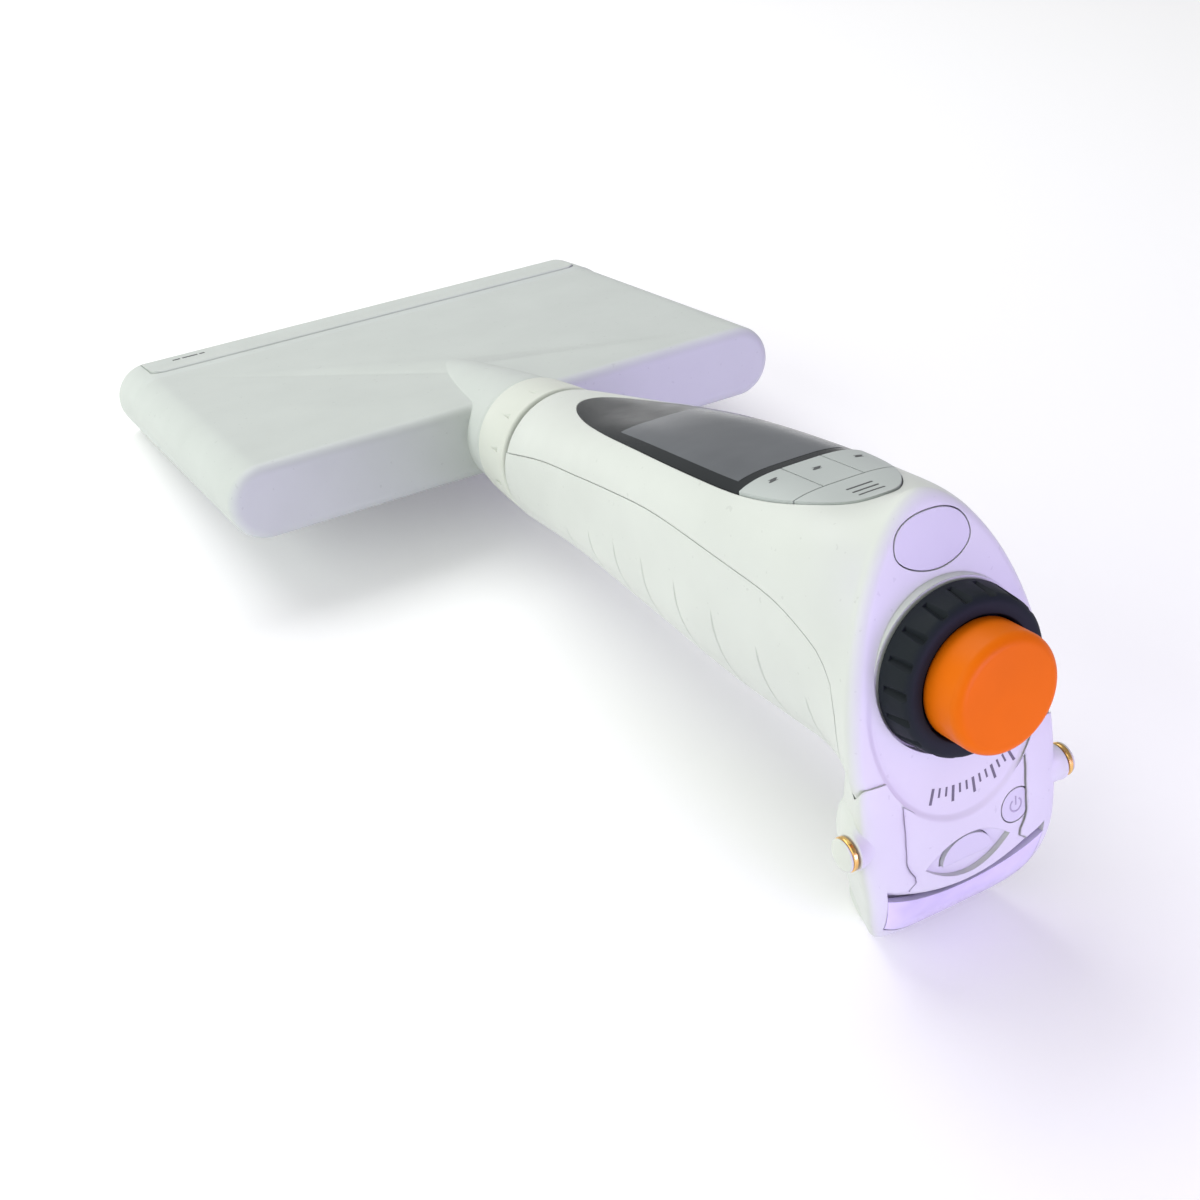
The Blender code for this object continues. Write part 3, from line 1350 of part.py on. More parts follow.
def drive(root):
    """Motor, pinion, gear, lead screw, nut and the bracket with the nut's two rails."""
    gear_start = BRACKET_Y + 0.0005 + GEAR_WIDTH
    axis_z = -gear_distance()
    spur_gear(root, "drive_gear", GEAR_TEETH, gear_start - GEAR_WIDTH, gear_start, 0.0,
              SCREW_RADIUS + GAP, math.pi / 2, brass())
    spur_gear(root, "motor_pinion", PINION_TEETH, gear_start - GEAR_WIDTH, gear_start, axis_z,
              SHAFT_RADIUS + GAP, math.pi / 2 + math.pi / PINION_TEETH, brass())
    screw = rod(BRACKET_Y - BRACKET_THICKNESS + 0.0002, SCREW_TIP, SCREW_RADIUS, 16)
    add_object("lead_screw", screw, steel(), root, (0.0, gear_start, 0.0))
    motor_end = BRACKET_Y - BRACKET_THICKNESS - GAP
    profile = [
        (motor_end - MOTOR_LENGTH, MOTOR_RADIUS - 0.0005),
        (motor_end - MOTOR_LENGTH + 0.0005, MOTOR_RADIUS),
        (motor_end, MOTOR_RADIUS),
        (motor_end, SHAFT_RADIUS),
        (gear_start, SHAFT_RADIUS),
    ]
    add_object("motor", turned(profile, 28, (0.0, axis_z)), steel(), root)
    rings = [handle_ring(y, WALL + GAP) for y in (BRACKET_Y - BRACKET_THICKNESS, BRACKET_Y)]
    bracket = add_object("motor_bracket", skin_rings(rings), inner_plastic(), root)
    rails = [rod(BRACKET_Y - 0.001, RAIL_END, RAIL_RADIUS, 12, (side * RAIL_PLACE, 0.0)) for side in (1, -1)]
    boolean(bracket, add_object("rails", joined(rails), root=root), "UNION")
    holes = [
        rod(BRACKET_Y - 0.004, BRACKET_Y + 0.002, SCREW_RADIUS + GAP, 16),
        rod(BRACKET_Y - 0.004, BRACKET_Y + 0.002, SHAFT_RADIUS + GAP, 16, (0.0, axis_z)),
        box((-0.02, BRACKET_Y - 0.004, 0.0072), (0.02, BRACKET_Y + 0.002, 0.03)),
    ]
    boolean(bracket, add_object("bracket_holes", joined(holes), root=root))
    nut_start = ROD_END - GAP
    outline = rounded_outline([
        (RAIL_PLACE + 0.0026, 0.0026, 0.0022),
        (-RAIL_PLACE - 0.0026, 0.0026, 0.0022),
        (-RAIL_PLACE - 0.0026, -0.0026, 0.0022),
        (RAIL_PLACE + 0.0026, -0.0026, 0.0022),
    ])
    nut = add_object("lead_nut", prism(outline, nut_start - NUT_LENGTH, nut_start, "Y"), brass(), root,
                     (0.0, nut_start, 0.0))
    drum = rod(nut_start - NUT_LENGTH, nut_start, NUT_RADIUS, 24)
    boolean(nut, add_object("nut_drum", drum, root=root), "UNION")
    bores = [rod(nut_start - 0.012, nut_start + 0.003, SCREW_RADIUS + GAP, 16)]
    bores += [rod(nut_start - 0.012, nut_start + 0.003, RAIL_RADIUS + GAP, 12, (side * RAIL_PLACE, 0.0))
              for side in (1, -1)]
    boolean(nut, add_object("nut_bores", joined(bores), root=root))


def electronics(root):
    """Battery, display module, main board with the key mat on it, end board and the button switch."""
    axis_z = -gear_distance()
    low = axis_z + MOTOR_RADIUS + GAP
    start = BRACKET_Y - BRACKET_THICKNESS - GAP
    body = box((-BATTERY_WIDTH / 2, start - BATTERY_LENGTH, low), (BATTERY_WIDTH / 2, start, low + BATTERY_HEIGHT))
    battery = add_object("battery", body, battery_blue(), root)
    round_edges(battery, 0.0012, 2)
    half = INSET_HALF - 0.0022
    z_start = top_height(half, LCD_START, WALL) - 2 * GAP
    z_end = top_height(half, LCD_END, WALL) - 2 * GAP
    tilt = math.atan2(z_end - z_start, LCD_START - LCD_END)
    lean = Matrix.Rotation(-tilt, 3, "X")
    pivot = Vector((0.0, LCD_START, z_start))

    def leaned(name, low_corner, high_corner, paint):
        body = box(low_corner, high_corner)
        bmesh.ops.rotate(body, cent=(0, 0, 0), verts=body.verts, matrix=lean)
        bmesh.ops.translate(body, verts=body.verts, vec=pivot)
        return add_object(name, body, paint, root)

    leaned("lcd_module", (-half, LCD_END - LCD_START, -LCD_THICKNESS), (half, 0.0, 0.0), glass_grey())
    top = -LCD_THICKNESS - GAP
    board_start = 0.004
    leaned("main_board", (-half - 0.0006, BOARD_END - LCD_START, top - BOARD_THICKNESS),
           (half + 0.0006, board_start, top), board_green())
    mat_end = BOARD_END - LCD_START + 0.0004
    mat_start = KEY_LINE - LCD_START - 0.0006
    mat = leaned("key_mat", (-MAT_HALF, mat_end, top + GAP), (MAT_HALF, mat_start, top + GAP + MAT_THICKNESS),
                 inner_plastic())
    domes = []
    for x, y in ((-0.0064, -0.1035), (0.0, -0.1035), (0.0064, -0.1035), (0.0, -0.1130)):
        height = top_height(abs(x) + DOME_RADIUS, y, WALL) - KEY_TRAVEL - GAP
        base = pivot.z - (y - LCD_START) * math.tan(tilt) + top + 0.0008
        dome = bmesh.new()
        bmesh.ops.create_cone(dome, cap_ends=True, segments=12, radius1=DOME_RADIUS, radius2=DOME_RADIUS * 0.9,
                              depth=height - base)
        bmesh.ops.translate(dome, verts=dome.verts, vec=(x, y, (height + base) / 2))
        domes.append(dome)
    boolean(mat, add_object("mat_domes", joined(domes), root=root), "UNION")
    ring = handle_ring(FLARE_START, WALL + 2 * GAP)
    rings = [[Vector((p.x, y, p.z)) for p in ring] for y in (END_BOARD_Y, END_BOARD_Y + BOARD_THICKNESS)]
    add_object("end_board", skin_rings(rings), board_green(), root)
    side = 0.0031
    switch_start = STEM_END + CAP_TRAVEL + GAP
    body = box((-side, switch_start, WHEEL_Z - side), (side, END_BOARD_Y - GAP, WHEEL_Z + side))
    switch = add_object("button_switch", body, inner_plastic(), root)
    round_edges(switch, 0.0003, 1)


def rest_on_ground(root):
    """Tilts the design frame onto the head's tip edge and the hook, with the origin under its middle."""
    corners = []
    for obj in bpy.context.scene.objects:
        if obj.type == "MESH" and not obj.hide_render:
            corners += [obj.location + v.co for v in obj.data.vertices]
    head = [p for p in corners if p.y > 0.05]
    hook = [p for p in corners if p.y < -0.05]
    tilt = 0.0
    for _ in range(6):
        front = min(head, key=lambda p: p.z * math.cos(tilt) - p.y * math.sin(tilt))
        back = min(hook, key=lambda p: p.z * math.cos(tilt) - p.y * math.sin(tilt))
        tilt = math.atan2(front.z - back.z, front.y - back.y)
    turn = Matrix.Rotation(-tilt, 4, "X")
    placed = [turn @ p for p in corners]
    middle = (min(p.y for p in placed) + max(p.y for p in placed)) / 2
    low = min(p.z for p in placed)
    root.rotation_euler.x = -tilt
    root.location = (0.0, -middle, -low)


def settle_shading():
    """Bakes each piece's modifiers, so that the edges they cut are marked sharp where the shape turns."""
    bpy.context.view_layer.update()
    graph = bpy.context.evaluated_depsgraph_get()
    for obj in list(bpy.context.scene.objects):
        if obj.type == "MESH" and not obj.hide_render:
            baked = bpy.data.meshes.new_from_object(obj.evaluated_get(graph))
            obj.modifiers.clear()
            obj.data = baked
            baked.shade_smooth()
            baked.set_sharp_from_angle(angle=math.radians(32.0))


def build():
    clear_scene()
    root = bpy.data.objects.new("root", None)
    bpy.context.scene.collection.objects.link(root)
    head_housing(root)
    tip_ejector(root)
    nozzle_plate(root)
    tip_cones(root)
    piston_rack(root)
    guide_rods(root)
    coupling_ring(root)
    swivel_bush(root)
    blank = casing_blank(root, "casing_blank", 0.0)
    raised = casing_blank(root, "raised_blank", KEY_RISE)
    upper_shell(root, blank, face_cuts(root))
    grip_shell(root, blank)
    display_lens(root, blank)
    soft_keys(root, raised)
    face_keys(root, blank)
    adjust_wheel(root)
    operating_button(root)
    wheel_encoder(root)
    finger_hook(root, casing_block(root, "grown_casing", 1.8 * GAP))
    label_window(root)
    contact_pins(root)
    drive(root)
    electronics(root)
    settle_shading()
    rest_on_ground(root)


build()
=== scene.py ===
"""Looks of the electronic multichannel pipette: fine shells, keys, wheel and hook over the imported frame.

Shapes are made in the design frame, whose +Y runs to the tips and whose +Z is the display side, and then
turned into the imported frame. Sizes are in metres.
"""

import math

import bmesh
import bpy
from mathutils import Matrix, Vector
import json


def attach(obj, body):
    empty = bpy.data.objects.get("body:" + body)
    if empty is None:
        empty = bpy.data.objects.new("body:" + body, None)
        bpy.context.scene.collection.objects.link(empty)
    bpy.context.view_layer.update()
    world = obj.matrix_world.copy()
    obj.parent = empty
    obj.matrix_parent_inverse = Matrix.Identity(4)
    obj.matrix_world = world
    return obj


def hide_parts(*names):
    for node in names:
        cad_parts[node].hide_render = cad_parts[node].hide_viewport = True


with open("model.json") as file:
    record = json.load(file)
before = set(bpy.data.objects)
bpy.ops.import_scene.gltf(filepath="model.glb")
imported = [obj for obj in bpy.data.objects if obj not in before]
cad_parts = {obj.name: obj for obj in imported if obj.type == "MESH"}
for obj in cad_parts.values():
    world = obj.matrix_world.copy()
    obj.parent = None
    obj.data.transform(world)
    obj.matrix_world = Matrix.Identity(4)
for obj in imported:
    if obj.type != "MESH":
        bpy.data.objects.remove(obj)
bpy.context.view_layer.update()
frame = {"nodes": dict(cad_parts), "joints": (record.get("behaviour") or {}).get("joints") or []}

# Fineness, gaps that show as lines, rise of printed marks, and rounding that only the light sees
SIDES = 192
SHARP_ANGLE = 30.0
SEAM = 0.00016
LINE = 0.00018
PROUD = 0.00003
BEVEL = 0.0002

# Head
HEAD_WIDTH = 0.118
HEAD_HEIGHT = 0.0866
HEAD_DEPTH = 0.0147
HEAD_EDGE = 0.0022
WALL = 0.0017
BULGE_RADIUS = 0.0116
BULGE_START = -0.0064
BULGE_LENGTH = 0.034
EJECTOR_HALF = 0.0525
EJECTOR_DEPTH = 0.0131
EJECTOR_PLATE = 0.0022
EJECTOR_LIP = 0.0009
EJECTOR_CORNER = 0.0028
HEAD_RAMP = 0.0022
HEAD_RAISE = 0.0005
TIP_EDGE = 0.0010
CHANNELS = 12
PITCH = 0.009
CONE_RADIUS = 0.0029
NECK_END = -0.0211
NECK_EDGE = 0.0006
TUBE_RADIUS = 0.009
TUBE_BORE = 0.0066
TUBE_END = -0.0385
TUBE_FLANGE = 0.0100
RING_START = -0.0069
RING_END = -0.0195
RING_RADIUS = 0.012
RING_GROWTH = 0.0008
RING_NICKS = 12
RING_NICK_SIZE = (0.0009, 0.0017, 0.0011)

# Handle: half width, top and bottom at stations along the axis
STATIONS = (-0.0211, -0.045, -0.070, -0.095, -0.112)
HALF_WIDTHS = (0.0130, 0.0140, 0.0152, 0.0157, 0.0149)
TOPS = (0.0130, 0.0156, 0.0192, 0.0210, 0.0217)
BOTTOMS = (-0.0130, -0.0121, -0.0139, -0.0167, -0.0180)
TOP_FULLNESS = 3.6
BOTTOM_FULLNESS = 2.05
FLARE_START = -0.113
FLARE_EASE = 2.3

# End face
FACE_Y = -0.13385
FACE_LOW = -0.0240
FACE_FRONT = FACE_Y - 0.005
FACE_CROWN = 3.0
FACE_SIDE_CROWN = 4.0
FACE_TOP = 0.0254
FACE_WAIST = -0.0098
FACE_HALF = 0.0168
FACE_POWER = 0.58
TONGUE_HALF = 0.0152
TONGUE_END_HALF = 0.0139
TONGUE_BOTTOM = -0.0282
TONGUE_SAG = 0.0032
TONGUE_CORNER = 0.0006
FACE_FILLET = 0.0017
DISH_HALF = 0.0137
DISH_HEIGHT = 0.0174
DISH_CENTRE = -0.0025
DISH_DEPTH = 0.0005
DISH_FADE = (0.0040, -0.0060)
DISH_CLEARANCE = 1.03
DISH_CUT_END = -0.127

# Controls on the end face
WHEEL_Z = 0.0022
WHEEL_RADIUS = 0.0119
WHEEL_FRONT_RADIUS = 0.0114
WHEEL_DEPTH = 0.0055
WHEEL_BASE = -0.1311
WHEEL_NICKS = 18
WHEEL_NICK_SIZE = (0.0012, 0.0019, 0.0012)
HUB_RADIUS = 0.0056
HUB_END = -0.1246
CAP_RADIUS = 0.0085
CAP_FRONT = -0.1427
CAP_BASE = -0.1361
CAP_EDGE = 0.0016
STEM_RADIUS = 0.0034
STEM_END = -0.1244
ENCODER_END = -0.1266
ENCODER_RADIUS = 0.0086
GAP = 0.0003
EJECT_KEY_Z = 0.0187
EJECT_KEY_HALF = 0.00615
EJECT_KEY_UP = 0.0044
EJECT_KEY_DOWN = 0.0034
POWER_KEY_X = 0.0085
POWER_KEY_Z = -0.0221
POWER_KEY_RADIUS = 0.0026
TICKS = 13
TICK_START = 0.0172
LEAF_Z = -0.0262
LEAF_HALF = 0.0073
LEAF_HEIGHT = 0.0032
LEAF_DEPTH = 0.0010
LATCH_HALF = 0.0045
LATCH_HEIGHT = 0.0039
LATCH_FOOT = -0.0272

# Display inset
INSET_START = -0.0320
INSET_WIDEST = -0.0920
INSET_END = -0.1185
INSET_HALF = 0.0110
KEY_LINE = -0.0990
KEY_END = -0.1095
KEY_SPLIT = 0.0034
KEY_RISE = 0.0003
TOP_DEPTHS = (0.0065, 0.035)
LCD_START = -0.0580
LCD_END = -0.0965
LCD_MARGIN = 0.0020

# Grip shell
SEAM_STATIONS = (-0.020, -0.0377, -0.0526, -0.0679, -0.0789, -0.0882, -0.1020, -0.1139, -0.1197, -0.1231,
                 -0.1256)
SEAM_HEIGHTS = (0.0043, 0.0079, 0.0099, 0.0116, 0.0124, 0.0123, 0.0112, 0.0093, 0.0071, 0.0052, 0.0023)
SEAM_END = -0.1272
SEAM_LOW = -0.0100
SEAM_FLOOR = -0.026
RIB_STARTS = (-0.0469, -0.0566, -0.0663, -0.0760, -0.0863, -0.0967, -0.1074, -0.1184)
RIB_TOPS = (-0.0010, 0.0022, 0.0038, 0.0043, 0.0042, 0.0034, 0.0015, -0.0022)
RIB_WIDTH = 0.0009
RIB_DEPTH = 0.0004
RIB_SLANT = 0.0036
RIB_REACH = 0.0148

# Finger hook
HOOK_WIDTH = 0.0175
HOOK_TOP = -0.0105
HOOK_FRONT = -0.142
HOOK_TAPER = 0.22
HOOK_POWER = 2 / 6.5
HOOK_BOTTOM = -0.0415
HOOK_TIP = -0.1152
HOOK_TIP_HALF = 0.0087
PIN_Y = -0.1313
PIN_Z = -0.0198
PIN_RADIUS = 0.0025
PIN_BOSS_RADIUS = 0.0027
PIN_BOSS_END = 0.0178
PIN_STEM = 0.0018
PIN_STEM_RADIUS = 0.0014
PIN_RING = 0.0007
PIN_DISC = 0.0004
PIN_DISC_GAP = 0.0001
WINDOW_HALF = 0.0137
WINDOW_HEIGHT = 0.0080
WINDOW_THICKNESS = 0.0012
WINDOW_BACK = -0.1275
CARD_THICKNESS = 0.0003

# Camera, in the design frame
CAMERA_PLACE = (-0.1199045, -0.2823361, 0.1091007)
CAMERA_RIGHT = (0.87274206, -0.47321792, -0.1199421)
CAMERA_DOWN = (-0.3039524, -0.33447278, -0.8920431)
CAMERA_VIEW = (0.38201341, 0.81498022, -0.43574419)
CAMERA_LENS = 49.44


def design_frame():
    """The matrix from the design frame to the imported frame, read from the wheel's joint."""
    joint = next(j for j in frame["joints"] if j["name"] == "wheel_turn")
    axis = Vector(joint["axis"])
    turn = Matrix.Rotation(math.atan2(axis.z, axis.y), 4, "X")
    centre = turn @ Vector((0.0, WHEEL_BASE, WHEEL_Z))
    return Matrix.Translation(Vector(joint["pos_m"]) - centre) @ turn


DESIGN = design_frame()


def mesh_of(name, bm):
    """A mesh made of bm, which is used up."""
    mesh = bpy.data.meshes.new(name)
    bm.to_mesh(mesh)
    bm.free()
    return mesh


def linked(name, data):
    """An object of data in the scene."""
    obj = bpy.data.objects.new(name, data)
    bpy.context.scene.collection.objects.link(obj)
    return obj


def cut(bm):
    return "DIFFERENCE", bm


def keep(bm):
    return "INTERSECT", bm


def add(bm):
    return "UNION", bm


def carve(bm, *steps):
    """bm after Boolean steps, each made by cut, keep or add. All bodies given are used up."""
    bodies = [linked("helper", mesh_of("helper", other)) for other in (bm, *(step[1] for step in steps))]
    for (operation, _), other in zip(steps, bodies[1:]):
        modifier = bodies[0].modifiers.new("step", "BOOLEAN")
        modifier.operation = operation
        modifier.solver = "EXACT"
        modifier.object = other
    graph = bpy.context.evaluated_depsgraph_get()
    baked = bpy.data.meshes.new_from_object(bodies[0].evaluated_get(graph))
    made = bmesh.new()
    made.from_mesh(baked)
    bpy.data.meshes.remove(baked)
    for obj in bodies:
        bpy.data.objects.remove(obj)
    return made


def piece(name, bm, body, paint, replaced=None):
    """A visible piece of bm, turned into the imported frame, riding on body."""
    bmesh.ops.transform(bm, matrix=DESIGN, verts=bm.verts)
    mesh = mesh_of(name, bm)
    mesh.materials.clear()
    mesh.materials.append(paint)
    mesh.shade_smooth()
    mesh.set_sharp_from_angle(angle=math.radians(SHARP_ANGLE))
    obj = linked(name, mesh)
    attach(obj, body)
    if replaced:
        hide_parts(replaced)


def skin_rings(rings, closed=False):
    """A body over rings of equally many points. A closed one joins its last ring to its first."""
    bm = bmesh.new()
    rows = [[bm.verts.new(point) for point in ring] for ring in rings]
    count = len(rows[0])
    pairs = list(zip(rows, rows[1:]))
    if closed:
        pairs.append((rows[-1], rows[0]))
    for low, high in pairs:
        for i in range(count):
            j = (i + 1) % count
            bm.faces.new((low[i], low[j], high[j], high[i]))
    if not closed:
        bm.faces.new(list(reversed(rows[0])))
        bm.faces.new(rows[-1])
    bmesh.ops.recalc_face_normals(bm, faces=bm.faces)
    return bm


def fractions(steps):
    return [k / steps for k in range(steps + 1)]


def around(count):
    """Cosine and sine of even turns."""
    turns = [2 * math.pi * i / count for i in range(count)]
    return [(math.cos(turn), math.sin(turn)) for turn in turns]


def quarter(radius, steps):
    """Points (along, across) of a quarter round, each measured back from the square corner's sides."""
    turns = [math.pi / 2 * share for share in fractions(steps)]
    return [(radius * (1 - math.cos(turn)), radius * (1 - math.sin(turn))) for turn in turns]


def turned(profile, sides=96, centre=(0.0, 0.0), closed=False):
    """A body turned about the Y axis through centre (x, z). Its profile lists (y, radius)."""
    rings = [[Vector((centre[0] + radius * cos, y, centre[1] + radius * sin)) for cos, sin in around(sides)]
             for y, radius in profile]
    return skin_rings(rings, closed)


def rod(start, end, radius, sides=48, centre=(0.0, 0.0)):
    return turned([(start, radius), (end, radius)], sides, centre)


def joined(bodies):
    whole = bmesh.new()
    for body in bodies:
        mesh = mesh_of("body", body)
        whole.from_mesh(mesh)
        bpy.data.meshes.remove(mesh)
    return whole


def nick(segments, blunt, size, turn, place):
    """A wedge that cuts a grip nick, scaled to size, turned about the Y axis and moved to its place."""
    wedge = bmesh.new()
    bmesh.ops.create_cone(wedge, cap_ends=True, segments=segments, radius1=blunt, radius2=1.0, depth=2.0)
    bmesh.ops.rotate(wedge, cent=(0, 0, 0), verts=wedge.verts, matrix=Matrix.Rotation(math.pi / 2, 3, "X"))
    bmesh.ops.scale(wedge, vec=size, verts=wedge.verts)
    bmesh.ops.rotate(wedge, cent=(0, 0, 0), verts=wedge.verts, matrix=Matrix.Rotation(turn, 3, "Y"))
    bmesh.ops.translate(wedge, verts=wedge.verts, vec=place)
    return wedge


def rounded_outline(corners, steps=8):
    """Points of a closed outline whose corners, given as (x, y, radius), are arcs."""
    points = []
    count = len(corners)
    for i in range(count):
        here = Vector(corners[i][:2])
        radius = corners[i][2]
        back = (Vector(corners[i - 1][:2]) - here).normalized()
        ahead = (Vector(corners[(i + 1) % count][:2]) - here).normalized()
        if radius == 0:
            points.append(here)
            continue
        half = back.angle(ahead) / 2
        reach = radius / math.tan(half)
        centre = here + (back + ahead).normalized() * radius / math.sin(half)
        start = here + back * reach - centre
        turn = math.pi - 2 * half
        if start.x * ahead.y - start.y * ahead.x < 0:
            turn = -turn
        for step in range(steps + 1):
            angle = turn * step / steps
            cos = math.cos(angle)
            sin = math.sin(angle)
            points.append(centre + Vector((start.x * cos - start.y * sin, start.x * sin + start.y * cos)))
    return points


def prism(outline, start, end, axis):
    """A body with its outline across the axis: (x, z) points for Y, (x, y) for Z, (y, z) for X."""
    place = {
        "X": lambda a, b, c: Vector((c, a, b)),
        "Y": lambda a, b, c: Vector((a, c, b)),
        "Z": lambda a, b, c: Vector((a, b, c)),
    }[axis]
    return skin_rings([[place(p[0], p[1], level) for p in outline] for level in (start, end)])


def mirrored(half):
    """A closed outline from its right half, which runs from the top of the axis to its bottom."""
    right = [Vector(p) if abs(p[0]) > 1e-6 else Vector((0.0, p[1])) for p in half]
    return right + [Vector((-p.x, p.y)) for p in reversed(right) if p.x]


def smooth_value(stations, values, at):
    """A smooth curve through values at rising or falling stations, level beyond its ends."""
    if stations[0] > stations[-1]:
        stations = stations[::-1]
        values = values[::-1]
    if at <= stations[0]:
        return values[0]
    if at >= stations[-1]:
        return values[-1]
    count = len(stations)
    slopes = [(values[i + 1] - values[i]) / (stations[i + 1] - stations[i]) for i in range(count - 1)]
    tangents = [slopes[0]]
    tangents += [(slopes[i] + slopes[i + 1]) / 2 for i in range(count - 2)]
    tangents += [slopes[-1]]
    i = max(k for k in range(count - 1) if stations[k] <= at)
    span = stations[i + 1] - stations[i]
    t = (at - stations[i]) / span
    return (
        values[i] * (2 * t**3 - 3 * t**2 + 1)
        + tangents[i] * span * (t**3 - 2 * t**2 + t)
        + values[i + 1] * (3 * t**2 - 2 * t**3)
        + tangents[i + 1] * span * (t**3 - t**2)
    )


def refined(rows, finer=4):
    """Rows of numbers with smooth steps put between them."""
    columns = list(zip(*rows))
    places = [float(i) for i in range(len(rows))]
    count = (len(rows) - 1) * finer
    return [[smooth_value(places, column, k / finer) for column in columns] for k in range(count + 1)]


def angles():
    """Even turns about the handle's middle; the nearest two are moved onto the tongue's corners."""
    turns = [2 * math.pi * i / SIDES for i in range(SIDES)]
    corner = math.atan2(TONGUE_BOTTOM + TONGUE_CORNER - WHEEL_Z, TONGUE_END_HALF)
    for aim in (corner + 2 * math.pi, math.pi - corner):
        nearest = min(range(SIDES), key=lambda i: abs(turns[i] - aim))
        turns[nearest] = aim
    return turns


def polar_centre(y):
    """Height of the handle's middle, from the neck's axis up to the wheel's."""
    return WHEEL_Z * min(1.0, max(0.0, (NECK_END - y) / (NECK_END - FLARE_START)))


def handle_radius(y, angle, inset):
    """Distance from the middle of the section at y to its skin, toward angle."""
    middle = polar_centre(y)
    width = smooth_value(STATIONS, HALF_WIDTHS, y) - inset
    share = min(1.0, (NECK_END - y) / 0.030)
    if math.sin(angle) >= 0:
        height = smooth_value(STATIONS, TOPS, y) - inset - middle
        power = 2 + (TOP_FULLNESS - 2) * share
    else:
        height = middle - smooth_value(STATIONS, BOTTOMS, y) - inset
        power = 2 + (BOTTOM_FULLNESS - 2) * share
    across = (abs(math.cos(angle)) / width) ** power
    up = (abs(math.sin(angle)) / height) ** power
    return (across + up) ** (-1 / power)


def handle_ring(y, inset=0.0):
    middle = polar_centre(y)
    spokes = [(a, handle_radius(y, a, inset)) for a in angles()]
    return [Vector((reach * math.cos(a), y, middle + reach * math.sin(a))) for a, reach in spokes]


def face_outline():
    """Right half of the end face, from its top to the bottom of its tongue."""
    half = []
    for share in fractions(40)[:-1]:
        u = math.cos(math.pi / 2 * share)
        z = FACE_WAIST + (FACE_TOP - FACE_WAIST) * u
        half.append((FACE_HALF * (1 - u * u) ** FACE_POWER, z))
    shoulder = [
        (FACE_HALF, FACE_WAIST + 0.0006, 0.0),
        (FACE_HALF - 0.0004, FACE_WAIST - 0.0014, 0.0010),
        (TONGUE_HALF, FACE_WAIST - 0.0045, 0.0050),
        (TONGUE_HALF, FACE_WAIST - 0.0095, 0.0050),
        (TONGUE_END_HALF, TONGUE_BOTTOM, 0.0010),
        (0.0, TONGUE_BOTTOM - TONGUE_SAG * 1.02, 0.0),
    ]
    corners = rounded_outline([(0.0, 0.0, 0.0)] + shoulder)[1:]
    half += [(point.x, point.y) for point in corners[:-1]]
    for share in fractions(12)[1:]:
        x = TONGUE_END_HALF * 0.93 * (1 - share)
        half.append((x, TONGUE_BOTTOM - TONGUE_SAG * (1 - (x / TONGUE_END_HALF) ** 2)))
    return half


def radius_toward(outline, angle, middle):
    """Distance from (0, middle) to a closed outline of (x, z) points, toward angle."""
    aim = Vector((math.cos(angle), math.sin(angle)))
    best = 0.0
    for i, start in enumerate(outline):
        a = Vector(start) - Vector((0.0, middle))
        b = Vector(outline[(i + 1) % len(outline)]) - Vector((0.0, middle))
        edge = b - a
        cross = aim.x * edge.y - aim.y * edge.x
        if abs(cross) < 1e-12:
            continue
        distance = (a.x * edge.y - a.y * edge.x) / cross
        share = (a.x * aim.y - a.y * aim.x) / cross
        if distance > 0 and -1e-6 <= share <= 1 + 1e-6:
            best = max(best, distance)
    return best


def face_y(x, z):
    """The end face: furthest out low on its tongue, leaning back toward its top and its sides."""
    return FACE_Y + FACE_CROWN * (z - FACE_LOW) ** 2 + FACE_SIDE_CROWN * x * x


def rim_y(angle, radius):
    """Where the flare ends and the rim's fillet begins, at this radius about the wheel's axis."""
    return face_y(radius * math.cos(angle), WHEEL_Z + radius * math.sin(angle)) + FACE_FILLET


def dish_outline():
    return [(DISH_HALF * math.cos(a), DISH_CENTRE + DISH_HEIGHT * math.sin(a)) for a in angles()]


FACE_LINE = mirrored(face_outline())
FACE_REACH = [radius_toward(FACE_LINE, a, WHEEL_Z) for a in angles()]
DISH_REACH = [radius_toward(dish_outline(), a, WHEEL_Z) for a in angles()]


